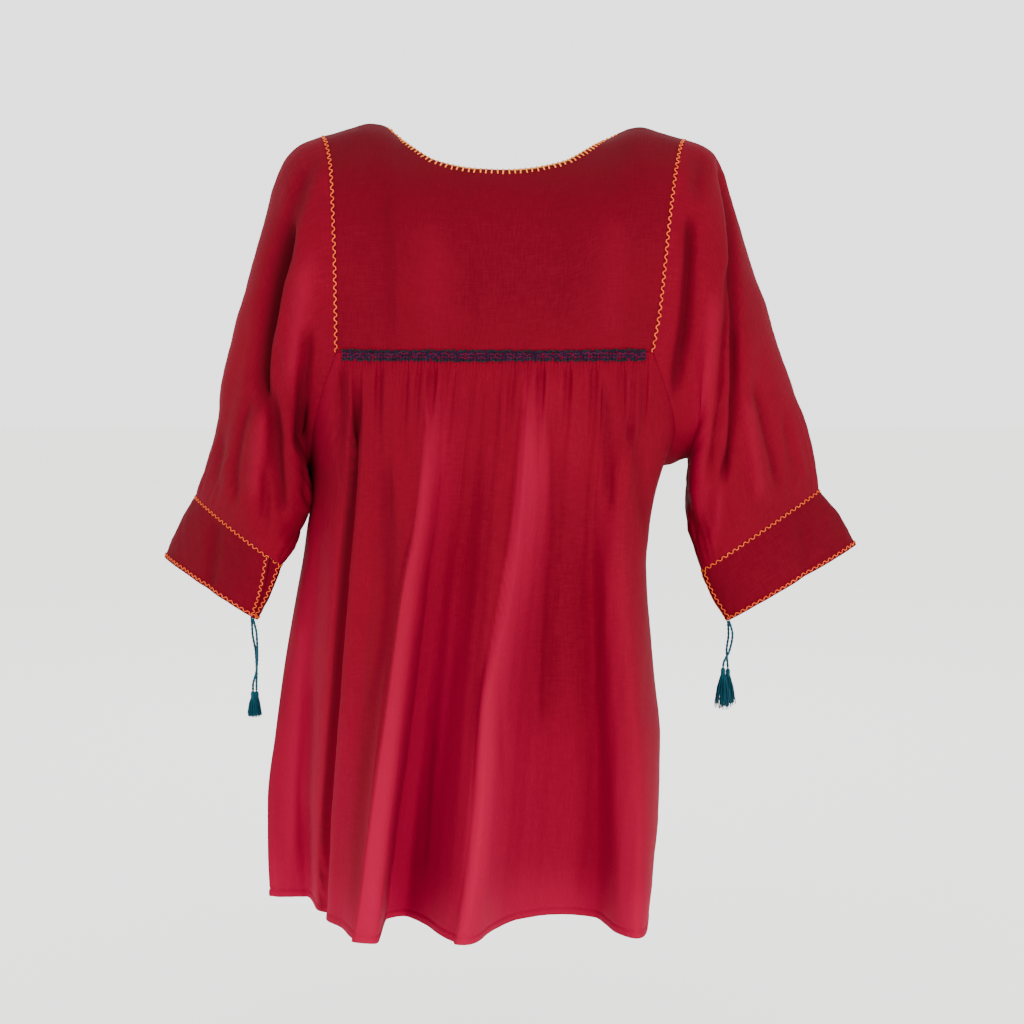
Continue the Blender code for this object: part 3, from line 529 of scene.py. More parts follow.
SLEEVE_FOLDS = {
    (Hand.LEFT, Side.BACK): (
        Fold(-5, 7.5, ((39, -184), (77, -198), (110, -208), (144, -213)), 30),
        Fold(-21, 8.5, ((110, -212), (182, -226), (225, -233), (262, -235)), 50, -0.3),
        Fold(-8, 6, ((250, -233), (288, -224), (337, -222), (381, -219)), 30),
        Fold(-4, 5, ((50, -195), (81, -207), (120, -216)), 30),
        Fold(-8, 6, ((205, -190), (250, -193), (284, -195), (316, -198)), 30),
        Fold(-4.5, 5, ((274, -250), (308, -260), (337, -266), (371, -268)), 30),
        Fold(4.5, 8, ((284, -234), (323, -240), (367, -245)), 30),
        Fold(5, 11, ((134, -189), (192, -197), (250, -205)), 40),
        Fold(-3, 4.5, ((337, -235), (396, -236)), 30),
        Fold(-3, 5, ((308, -280), (357, -288)), 30),
    ),
    (Hand.RIGHT, Side.BACK): (
        Fold(-9.5, 4, ((39, 213), (77, 220), (134, 224), (250, 225), (298, 224), (347, 217)), 30),
        Fold(-5, 4.2, ((144, 219), (201, 214), (259, 210), (342, 201)), 30),
        Fold(5.5, 9, ((172, 202), (240, 197), (318, 193), (386, 191)), 40),
        Fold(-10, 6, ((95, 180), (134, 179), (187, 176), (262, 165)), 30),
        Fold(-4.5, 4.2, ((259, 246), (293, 256), (352, 272)), 30),
        Fold(3.5, 7, ((269, 235), (308, 243), (367, 254)), 30),
        Fold(-5, 12, ((30, 190), (72, 186)), 30),
        Fold(-3, 5, ((288, 278), (347, 290)), 30),
        Fold(-3, 4.5, ((347, 181), (411, 192)), 30),
        Fold(3, 6, ((357, 213), (416, 209)), 30),
    ),
    (Hand.LEFT, Side.FRONT): (
        Fold(-5, 7, ((45, -190), (90, -202), (140, -210)), 30),
        Fold(-11, 8, ((120, -208), (180, -216), (255, -222)), 50),
        Fold(-6, 6, ((245, -224), (300, -224), (375, -221)), 30),
        Fold(-6, 6, ((210, -189), (260, -192), (312, -197)), 30),
        Fold(4.5, 8, ((275, -238), (320, -243), (370, -247)), 30),
        Fold(-4.5, 5, ((268, -254), (310, -264), (372, -273)), 30),
    ),
    (Hand.RIGHT, Side.FRONT): (
        Fold(-7, 5, ((45, 208), (120, 217), (250, 222), (345, 214)), 30),
        Fold(-8, 6, ((100, 184), (187, 180), (262, 170)), 30),
        Fold(5, 9, ((172, 201), (280, 196), (386, 192)), 40),
        Fold(-4.5, 4.5, ((262, 248), (305, 260), (355, 274)), 30),
        Fold(3.5, 7, ((272, 234), (365, 252)), 30),
    ),
}

CUFF_FOLDS = {
    Hand.LEFT: (
        Fold(-4, 6, ((400, -289), (430, -293), (462, -298)), 20),
    ),
    Hand.RIGHT: (
        Fold(-1.6, 7, ((400, 300), (460, 305)), 20),
    ),
}


Colour = tuple[float, float, float, float]
Link = tuple[bpy.types.Node, str]
Paint = Callable[[bpy.types.NodeTree, bpy.types.Node], tuple[Link, dict]]


@dataclass(frozen=True)
class CottonCloth:
    """Plain woven cotton, piece dyed. Its slubs give streaks along both threads.

    The real threads lie 0.4 mm apart, too fine to show, so the streaks are drawn
    1.6 mm wide and 18 mm long. Painted light: a paler ridge colour is mixed in as painted highlight on
    ridges, low on the body and at the hem, and a darker crease colour as painted shade in creases and at the
    top of the yokes.
    """

    name: str
    deep: str
    bright: str
    faded: str
    # Painted light colours: ridge is the painted highlight, crease the painted shade.
    ridge: str = "#7E0026"
    crease: str = "#2E0005"
    slub_width: float = 0.0016
    slub_length: float = 0.018
    slot: str = "crimson_cotton"

    def paint(self, tree: bpy.types.NodeTree, place: bpy.types.Node) -> tuple[Link, dict]:
        """Add the weave's nodes: its colour and the inputs of its bump."""
        blotch = add_node(tree, "TexNoise", {"Vector": (place, "Object"), "Scale": 7.0, "Detail": 3.0})
        streaks = []
        for across, along in ((self.slub_width, self.slub_length), (self.slub_length, self.slub_width)):
            threads = add_node(tree, "Mapping", {"Vector": (place, "UV"),
                                                 "Scale": (1 / across, 1 / along, 1.0)})
            streaks.append(add_node(tree, "TexNoise", {"Vector": (threads, "Vector"), "Scale": 1.0,
                                                       "Detail": 2.0}, noise_dimensions="2D"))
        weave = add_node(tree, "Math", {0: (streaks[0], "Fac"), 1: (streaks[1], "Fac")}, operation="ADD")
        painted_light_mark = add_node(tree, "Attribute", {}, attribute_name="fade")
        tone = blend(tree, (blotch, "Fac"), (0.35, 0.68, 1.0), linear(self.deep), linear(self.bright))
        tone = blend(tree, (weave, "Value"), (0.8, 1.3, 0.35), tone, linear(self.faded))
        # Painted light from the fade attribute: the ridge colour as painted highlight, the crease colour as
        # painted shade.
        tone = blend(tree, (painted_light_mark, "Fac"), (0.0, 1.0, 0.9), tone, linear(self.ridge))
        tone = blend(tree, (painted_light_mark, "Fac"), (0.0, -1.0, 0.92), tone, linear(self.crease))
        return tone, {"Height": (weave, "Value"), "Strength": 0.25, "Distance": 0.0005}

    def material(self) -> bpy.types.Material:
        """Material of this cloth."""
        return fibre_material(self.name, 0.88, self.faded, self.paint)


@dataclass(frozen=True)
class Thread:
    """Mercerised cotton thread or cord. Its plies show as short slanting ridges."""

    name: str
    shade: str
    light: str
    ply: float = 0.0006
    roughness: float = 0.55

    def paint(self, tree: bpy.types.NodeTree, place: bpy.types.Node) -> tuple[Link, dict]:
        """Add the thread's nodes: its colour and the inputs of its bump."""
        turned = add_node(tree, "Mapping", {"Vector": (place, "Object"), "Rotation": (0.6, 0.4, 0.8)})
        plies = add_node(tree, "TexWave", {"Vector": (turned, "Vector"), "Distortion": 1.5,
                                           "Scale": math.pi / (10.0 * self.ply)}, wave_type="BANDS")
        uneven = add_node(tree, "TexNoise", {"Vector": (place, "Object"), "Scale": 160.0, "Detail": 2.0})
        both = add_node(tree, "Math", {0: (plies, "Fac"), 1: 0.45, 2: (uneven, "Fac")},
                        operation="MULTIPLY_ADD")
        tone = blend(tree, (both, "Value"), (0.4, 1.1, 1.0), linear(self.shade), linear(self.light))
        return tone, {"Height": (plies, "Fac"), "Strength": 0.5, "Distance": 0.0003}

    def material(self) -> bpy.types.Material:
        """Material of this thread."""
        return fibre_material(self.name, self.roughness, self.light, self.paint)


CRIMSON = CottonCloth("crimson_plain_weave", "#51000F", "#590011", "#630218")
# The yokes take a darker copy of the body's crimson as painted shade.
SHADED_YOKE_CRIMSON = CottonCloth("crimson_yoke_weave_shaded", "#4B000C", "#52000E", "#5A0216")
CUFF_CRIMSON = CottonCloth("crimson_cuff_weave", "#47000B", "#4F000D", "#580215", slot="deep_crimson_cotton")
ORANGE_THREAD = Thread("orange_stitch_cotton", "#B43A10", "#DA5E26")
NECK_THREAD = Thread("yellow_orange_stitch_cotton", "#C8621C", "#E28C3C")
EDGE_CORD = Thread("tan_edge_cord_cotton", "#8A4E22", "#B67C40")
NAVY_THREAD = Thread("navy_gathering_cotton", "#0B0616", "#1A1028")
PURPLE_THREAD = Thread("purple_gathering_cotton", "#36031A", "#500828")
PINE_THREAD = Thread("pine_gathering_cotton", "#061012", "#122020")
TEAL_COTTON = Thread("teal_cord_cotton", "#032632", "#103E4A", 0.0011, 0.5)
STUDIO_GREY = "#FAFAF8"


def linear(shade: str) -> Colour:
    """Turn an sRGB hex colour into the linear one that Blender's shaders take."""
    parts = (int(shade[i:i + 2], 16) / 255.0 for i in (1, 3, 5))
    return (*(p / 12.92 if p <= 0.04045 else ((p + 0.055) / 1.055) ** 2.4 for p in parts), 1.0)


def add_node(tree: bpy.types.NodeTree, kind: str, inputs: dict, **settings: str) -> bpy.types.Node:
    """Add a shader node with its settings and links.

    Args:
        tree: the material's node tree.
        kind: Blender's name for the node's type, without its ShaderNode prefix.
        inputs: socket values, or (node, output) pairs to link.
        settings: properties of the node itself.

    Returns:
        The new node.
    """
    node = tree.nodes.new("ShaderNode" + kind)
    for name, value in settings.items():
        setattr(node, name, value)
    for name, value in inputs.items():
        if isinstance(value, tuple) and isinstance(value[0], bpy.types.Node):
            tree.links.new(value[0].outputs[value[1]], node.inputs[name])
        else:
            node.inputs[name].default_value = value
    return node


def blend(tree: bpy.types.NodeTree, value: Link, limits: tuple[float, float, float],
          first: Link | Colour, second: Colour) -> Link:
    """Mix two colours by a value, from none of the second at its first limit.

    Args:
        tree: the material's node tree.
        value: the link that gives the value.
        limits: the value's two limits, and the second colour's share at the last one.
        first: a colour, or the link that gives it.
        second: the colour mixed in.

    Returns:
        The link that gives the mixed colour.
    """
    share = add_node(tree, "MapRange", {"Value": value, "From Min": limits[0], "From Max": limits[1],
                                        "To Max": limits[2]})
    mixed = add_node(tree, "MixRGB", {"Fac": (share, "Result"), "Color1": first, "Color2": second})
    return mixed, "Color"


def fibre_material(name: str, roughness: float, tint: str, paint: Paint) -> bpy.types.Material:
    """Make a fibre material, or return the one already made.

    Args:
        name: the material's name.
        roughness: its roughness.
        tint: the tint of its sheen.
        paint: adds the finish's nodes and returns the colour and the inputs of its bump.

    Returns:
        The material.
    """
    known = bpy.data.materials.get(name)
    if known:
        return known
    material = bpy.data.materials.new(name)
    material.use_nodes = True
    tree = material.node_tree
    shader = tree.nodes["Principled BSDF"]
    for socket, value in (("Roughness", roughness), ("Sheen Weight", 0.05), ("Sheen Roughness", 0.5),
                          ("Sheen Tint", linear(tint)), ("Specular IOR Level", 0.06)):
        shader.inputs[socket].default_value = value
    (mixed, output), relief = paint(tree, add_node(tree, "TexCoord", {}))
    tree.links.new(mixed.outputs[output], shader.inputs["Base Color"])
    tree.links.new(add_node(tree, "Bump", relief).outputs["Normal"], shader.inputs["Normal"])
    return material


def placed(name: str, data: bpy.types.ID) -> bpy.types.Object:
    """New object with its data, linked to the scene."""
    thing = bpy.data.objects.new(name, data)
    bpy.context.scene.collection.objects.link(thing)
    return thing


def new_piece(name: str, data: bpy.types.ID, material: bpy.types.Material) -> bpy.types.Object:
    """New piece with its material, which rides on the blouse's one body."""
    data.materials.append(material)
    thing = placed(name, data)
    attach(thing, ROOT)
    return thing


def finished_mesh(bm: bmesh.types.BMesh, name: str) -> bpy.types.Mesh:
    """Mesh of a finished bmesh, which is freed."""
    mesh = bpy.data.meshes.new(name)
    bm.to_mesh(mesh)
    bm.free()
    return mesh


def surface_normals(points: Array, turned: bool) -> Array:
    """Normals of a grid of points, from its neighbours along both ways.

    Args:
        points: rows by columns by 3.
        turned: whether rows and columns run the other way round as seen from outside.

    Returns:
        Unit normals that point outwards.
    """
    down, across = np.gradient(points, axis=0), np.gradient(points, axis=1)
    normals = unit(np.cross(across, down))
    return -normals if turned else normals


def grid_mesh(name: str, points: Array, size: tuple[float, float], closed: bool = False,
              turned: bool = False, fade: Array | None = None) -> bpy.types.Mesh:
    """Make a smooth mesh from a grid of points, with a UV map in metres.

    Args:
        name: the mesh's name.
        points: rows by columns by 3.
        size: the cloth's flat width and length, which the UV map spans.
        closed: whether the last column meets the first.
        turned: whether the faces have to be turned to point outwards.
        fade: painted light at each point: painted highlight above 0, painted shade below 0.

    Returns:
        The mesh.
    """
    rows, columns = points.shape[0] - 1, points.shape[1] - 1
    bm = bmesh.new()
    layer = bm.loops.layers.uv.new("UVMap")
    bmesh.ops.create_grid(bm, x_segments=columns, y_segments=rows, size=0.5, calc_uvs=True)
    for face in bm.faces:
        for loop in face.loops:
            x, y = loop.vert.co.x + 0.5, loop.vert.co.y + 0.5
            loop[layer].uv = (x * size[0], y * size[1])
    # The fade layer carries the painted light: painted highlight above 0, painted shade below 0.
    painted_light_mark = bm.verts.layers.float.new("fade")
    for vert in bm.verts:
        place = round((vert.co.y + 0.5) * rows), round((vert.co.x + 0.5) * columns)
        vert.co = points[place]
        vert[painted_light_mark] = 0.0 if fade is None else fade[place]
    if closed:
        bmesh.ops.remove_doubles(bm, verts=bm.verts, dist=1e-6)
    if turned:
        bmesh.ops.reverse_faces(bm, faces=bm.faces)
    mesh = finished_mesh(bm, name)
    mesh.shade_smooth()
    return mesh


def cloth_shell(name: str, points: Array, fade: Array, size: tuple[float, float], finish: CottonCloth,
                closed: bool = False, turned: bool = False) -> bpy.types.Object:
    """Make a thin shell of cloth that stands for its CAD node.

    Args:
        name: the CAD node that it replaces.
        points: the cloth's middle surface, rows by columns by 3.
        fade: painted highlight (above 0) or painted shade (below 0) at each point.
        size: the cloth's flat width and length.
        finish: its weave and dye.
        closed: whether the last column meets the first.
        turned: whether the faces have to be turned to point outwards.

    Returns:
        The piece.
    """
    mesh = grid_mesh(name + "_cloth", points, size, closed, turned, fade)
    thing = new_piece(name + "_cloth", mesh, finish.material())
    wall = thing.modifiers.new("wall", "SOLIDIFY")
    wall.thickness = WALL
    wall.offset = 0.0
    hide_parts(name)
    LOG.info("%s: %d faces", thing.name, len(thing.data.polygons))
    return thing


def thread_piece(name: str, runs: list[Array], radius: float, finish: Thread,
                 slot: str = "crimson_cotton") -> bpy.types.Object:
    """Make a piece of sewing: one round thread along each run of points."""
    curve = bpy.data.curves.new(name, "CURVE")
    curve.dimensions = "3D"
    curve.bevel_depth = radius
    curve.bevel_resolution = 1
    curve.use_fill_caps = True
    for run in runs:
        spline = curve.splines.new("POLY")
        spline.points.add(len(run) - 1)
        spline.points.foreach_set("co", np.column_stack([run, np.ones(len(run))]).ravel())
        spline.use_smooth = True
    LOG.info("%s: %d runs", name, len(runs))
    return new_piece(name, curve, finish.material())


@dataclass
class SeamLine:
    """Line on the cloth with the outward normal at each of its points."""

    points: Array
    normals: Array

    def spaced(self, spacing: float) -> tuple[Array, Array, Array, Array]:
        """Points a spacing apart along the line.

        Args:
            spacing: distance between points, in metres.

        Returns:
            The lengths from the start, the points, the normals and the directions along.
        """
        lengths = run_lengths(self.points)
        count = max(int(lengths[-1] / spacing), 4)
        goals = np.linspace(0.0, lengths[-1], count + 1)
        points, normals = (np.stack([np.interp(goals, lengths, values[:, i]) for i in range(3)], axis=-1)
                           for values in (self.points, self.normals))
        return goals, points, unit(normals), unit(np.gradient(points, axis=0))

    def wave(self, period: float, swing: float, lift: float) -> Array:
        """Hand-sewn wave along the line, a little uneven.

        Args:
            period: length of one wave.
            swing: how far it swings to each side.
            lift: height of the thread's middle over the cloth.

        Returns:
            The thread's points.
        """
        goals, points, normals, along = self.spaced(period / 10.0)
        side = unit(np.cross(normals, along))
        place = goals / period
        phase = 2.0 * math.pi * place + 0.35 * waver(place / 9.0, 1.0)
        width = swing * (1.0 + 0.16 * waver(place / 5.0, 2.0))
        bent = np.sin(phase) + 0.18 * np.sin(3.0 * phase)
        return points + side * (width * bent)[:, None] + normals * lift


def yoke_ends(rise: Array | float) -> tuple[Array, Array]:
    """Places across of a yoke's left and right ends at a rise."""
    return YOKE.at("left", rise), YOKE.at("right", rise)


@dataclass
class YokePiece:
    """One plain yoke, from the gathered seam over the shoulder blades to the ridge."""

    side: Side
    columns: int = 150
    rows: int = 70
    neck_turn: float = 0.006
    flat: tuple[float, float] = (0.36, 0.27)
    pull_rise: float = 0.0012
    pull_at: float = 0.132
    pull_slope: float = 0.18
    pull_reach: float = 0.012

    def points(self, place: Array, rise: Array) -> Array:
        """Points from the left sleeve seam (place 0) to the right one, seam to ridge."""
        x = mix(*yoke_ends(rise), place)
        bottom = CHEST[self.side].y(mix(*BodyPanel(self.side).corners(), place))
        drop = YOKE.at("drop", rise) + RIDGE.at("drop", x) * rise * rise
        return np.stack([x, bottom * YOKE.at(self.side.word, rise), -drop], axis=-1)

    def neck_rise(self, place: Array) -> Array:
        """Rise of the upper edge: the ridge, or the neck edge between its ends."""
        x = mix(*yoke_ends(1.0), place)
        goal = NECK.at(self.side.word, x)
        low, high = np.zeros_like(place), np.ones_like(place)
        for _ in range(26):
            rise = mix(low, high, 0.5)
            below = -self.points(place, rise)[..., 2] > goal
            low, high = np.where(below, rise, low), np.where(below, high, rise)
        beyond = np.maximum(NECK_LEFT - x, x - NECK_RIGHT)
        return mix(low, 1.0, ease(beyond / self.neck_turn))

    def places(self) -> Array:
        """Places across, close together at the neck's two ends."""
        left, right = yoke_ends(1.0)
        ends = (NECK_LEFT - self.neck_turn, NECK_RIGHT + self.neck_turn)
        start, end = ((x - left) / (right - left) for x in ends)
        spread = 0.5 - 0.5 * np.cos(np.linspace(0.0, math.pi, self.columns - 47))
        return np.concatenate([np.linspace(0.0, start, 24, endpoint=False), mix(start, end, spread),
                               np.linspace(end, 1.0, 25)[1:]])

    def ripples(self, points: Array, rise: Array) -> Array:
        """Slight pull lines of the yoke's cloth towards its shoulder ends."""
        x, drop = points[..., 0], -points[..., 2]
        soft = YOKE_LONG_WRINKLES.lift(x, drop) + YOKE_CROSS_WRINKLES.lift(x, drop)
        away = (np.abs(x) - self.pull_at + self.pull_slope * drop) / self.pull_reach
        soft = soft + self.pull_rise * bell(away) * window(drop, 0.0, 0.03, 0.17, 0.08)
        return (soft + lifts(YOKE_FOLDS[self.side], points)) * window(rise, 0.0, 0.05, 1.0, 0.08)

    def build(self) -> bpy.types.Object:
        """Make the yoke's cloth."""
        place = self.places()[None, :]
        top = self.neck_rise(place)
        rise = top * np.linspace(0.0, 1.0, self.rows + 1)[:, None] ** 0.9
        place = np.broadcast_to(place, rise.shape)
        points = self.points(place, rise)
        turned = self.side is Side.FRONT
        normals = surface_normals(points, turned)
        points = points + normals * (self.ripples(points, rise) * inside(place, 0.03))[..., None]
        # Painted light: painted highlight and painted shade on the yoke's folds, and painted shade that
        # deepens towards the top of the yoke.
        upper = ease((TOP_SHADE_DROP + points[..., 2]) / 0.12)
        fade = painted_fold_light(lifts(YOKE_FOLDS[self.side], points)) - TOP_PAINTED_SHADE * upper
        thing = cloth_shell(self.side.word + "_yoke", points, fade, self.flat, SHADED_YOKE_CRIMSON, turned=turned)
        return thing

    def edge_line(self, place: Array, rise: Array) -> SeamLine:
        """Line over the yoke with its outward normals."""
        step = 0.004
        inward = np.where(place < 0.5, step, -step)
        points = self.points(place, rise)
        across = (self.points(place + inward, rise) - points) * np.sign(inward)[:, None]
        up = points - self.points(place, np.maximum(rise - step, 0.0))
        near = np.linalg.norm(up, axis=-1) < 1e-6
        up[near] = (self.points(place, rise + step) - points)[near]
        normals = unit(np.cross(across, up))
        return SeamLine(points, -normals if self.side is Side.FRONT else normals)

    def sleeve_seam(self, hand: Hand) -> SeamLine:
        """Seam with a sleeve, from the corner of the body panel to the ridge."""
        rise = np.linspace(0.0, 0.995, 160)
        return self.edge_line(np.full_like(rise, 0.0 if hand is Hand.LEFT else 1.0), rise)

    def neck_edge(self) -> SeamLine:
        """Neck edge from its left end to its right one."""
        left, right = yoke_ends(1.0)
        spread = 0.5 - 0.5 * np.cos(np.linspace(0.0, math.pi, 260))
        turn = self.neck_turn - 0.0002
        place = (mix(NECK_LEFT - turn, NECK_RIGHT + turn, spread) - left) / (right - left)
        return self.edge_line(place, self.neck_rise(place))


@dataclass
class BodyPanel:
    """One wide body panel, gathered to its yoke and falling in flutes to the hem."""

    side: Side
    pleat: float = 0.0031
    pleat_rise: float = 0.0005
    trough_spread: float = 0.35
    trough_growth: float = 6.0
    hem_rise: float = 0.0008
    hem_dent: float = 0.0006
    steps_per_pleat: int = 4
    armhole_columns: int = 26

    def corners(self) -> tuple[float, float]:
        """Shares of the width where the yoke's two lower corners are."""
        left, right = yoke_ends(0.0)
        return CHEST[self.side].share_at(left), CHEST[self.side].share_at(right)

    def top_drop(self, share: Array) -> Array:
        """Drop of the upper edge: the yoke seam, then the armhole curves."""
        left, right = self.corners()
        outward = np.maximum(np.maximum((left - share) / left, (share - right) / (1.0 - right)), 0.0)
        return YOKE_DROP + (UNDERARM_DROP - YOKE_DROP) * (1.0 - (1.0 - outward) ** ARMHOLE_ROUNDNESS)

    def swell(self, share: Array, depth: Array) -> Array:
        """How far the gathers push the cloth out, as in the solid."""
        left, right = self.corners()
        place = (share - left) / (right - left)
        across = CHEST[self.side].x(share)
        uneven = 0.72 + 0.28 * np.sin(17.0 * place + 3.0 * self.side.value)
        fine = np.cos(2.0 * math.pi * GATHERS * place) * uneven * BODY_ROWS.at("fine", depth)
        fold = np.zeros_like(across + depth)
        for middle, rise, reach in GATHER_FOLDS[self.side].rows:
            near = np.clip(np.abs(across - middle) / (2.0 * reach), 0.0, 1.0)
            fold = fold + rise * (0.5 + 0.5 * np.cos(math.pi * near))
        return np.where((place >= 0.0) & (place <= 1.0), fine, 0.0) + fold * BODY_ROWS.at("fold", depth)

    def points(self, share: Array, drop: Array) -> Array:
        """Points of the panel's smooth form at shares of its width and drops."""
        plan, hem, facing = CHEST[self.side], HEM[self.side], self.side.value
        flute = BODY.at("flute", drop)
        x = mix(plan.x(share), hem.at("across", share), flute)
        y = mix(plan.y(share), facing * hem.at("out", share), flute)
        for edge, name in ((0.0, "left"), (1.0, "right")):
            moved = BODY.at(name, drop) - mix(plan.x(edge), hem.at("across", edge), flute)
            x = x + moved * ease(1.0 - np.abs(share - edge) / EDGE_REACH)
        y = y + facing * self.swell(share, drop - self.top_drop(share))
        return np.stack(np.broadcast_arrays(x, y, -drop), axis=-1)

    def creases(self, share: Array, points: Array) -> Array:
        """Relief on the smooth form: pleats, gathers, long folds, wrinkles and the hem."""
        left, right = self.corners()
        across, drop = points[..., 0], -points[..., 2]
        depth = drop - self.top_drop(share)
        place = (share - left) / (right - left)
        middle = inside(place, 0.02)
        pleats = self.pleat_rise * np.cos(2.0 * math.pi * place * BAND_WIDTH / self.pleat) * middle
        pleats = pleats * window(depth, 0.0, 0.002, 0.026, 0.016)
        gathers = sum(row.lift(place, depth, self.side.value) for row in (BODY_GATHERS, BODY_RIBS)) * middle
        total = pleats + gathers + lifts(BODY_FOLDS[self.side], points)
        for at, rise, reach, end in GATHER_TROUGHS[self.side].rows:
            below = drop - YOKE_DROP
            bed = at * (1.0 + self.trough_spread * below)
            away = (across - bed) / (reach * (1.0 + self.trough_growth * below))
            total = total - rise * bell(away) * ease((depth - 0.004) / 0.018) * ease((end - drop) / 0.10)
        total = total + BODY_LONG_WRINKLES.lift(across, drop) * ease((depth - 0.05) / 0.10)
        total = total + BODY_CROSS_WRINKLES.lift(across, drop) * ease((depth - 0.10) / 0.10)
        height = HEM_DROP - drop
        roll = self.hem_rise * ease((0.0065 - height) / 0.0015)
        dent = self.hem_dent * bell((height - 0.0078) / 0.0012)
        return total * inside(share, 0.02) + roll - dent

    def shares(self) -> Array:
        """Shares across the panel, a few to each small pleat between the corners."""
        left, right = self.corners()
        count = int(BAND_WIDTH / self.pleat) * self.steps_per_pleat
        return stepped((0.0, left, right, 1.0), (self.armhole_columns, count, self.armhole_columns))

    def depths(self) -> Array:
        """Shares of the way from the upper edge to the hem, close at both ends."""
        return stepped((0.0, 0.030, 0.14, 0.975, 1.0), (10, 14, 38, 13))

    def surface(self, share: Array, drop: Array) -> tuple[Array, Array]:
        """Creased points and their normals over a grid of shares and drops.

        Args:
            share: shares of the width, rows by columns.
            drop: drops, rows by columns, from the upper edge down.

        Returns:
            The points and the outward normals.
        """
        points = self.points(share, drop)
        normals = surface_normals(points, self.side is Side.BACK)
        return points + normals * self.creases(share, points)[..., None], normals

    def build(self) -> bpy.types.Object:
        """Make the panel's cloth."""
        share = self.shares()[None, :]
        drop = mix(self.top_drop(share), HEM_DROP, self.depths()[:, None])
        points, _ = self.surface(np.broadcast_to(share, drop.shape), drop)
        # Painted light: painted highlight and shade on the folds, painted light bands, and painted light
        # growing towards the lower body and the hem.
        painted_lower_light = LOWER_PAINTED_LIGHT * ease((drop - LOWER_PAINTED_LIGHT_DROP) / 0.30) + HEM_PAINTED_LIGHT * ease((drop - HEM_PAINTED_LIGHT_DROP) / 0.06)
        fade = painted_fold_light(lifts(BODY_FOLDS[self.side], points)) + lifts(BODY_PAINTED_LIGHT[self.side], points) + painted_lower_light
        size = {Side.BACK: (0.62, 0.565), Side.FRONT: (0.60, 0.565)}[self.side]
        thing = cloth_shell(self.side.word + "_panel", points, fade, size, CRIMSON,
                            turned=self.side is Side.BACK)
        return thing

    def band(self, depth: Array | float, place: Array, lift: float) -> Array:
        """Points just over the gathered band, at depths below the yoke seam."""
        left, right = self.corners()
        share = mix(left, right, place)[None, :]
        drops = np.stack([depth + step + 0.0 * place for step in (-0.001, 0.0, 0.001)])
        drops = drops + self.top_drop(share)
        points, normals = self.surface(np.broadcast_to(share, drops.shape), drops)
        return points[1] + normals[1] * lift


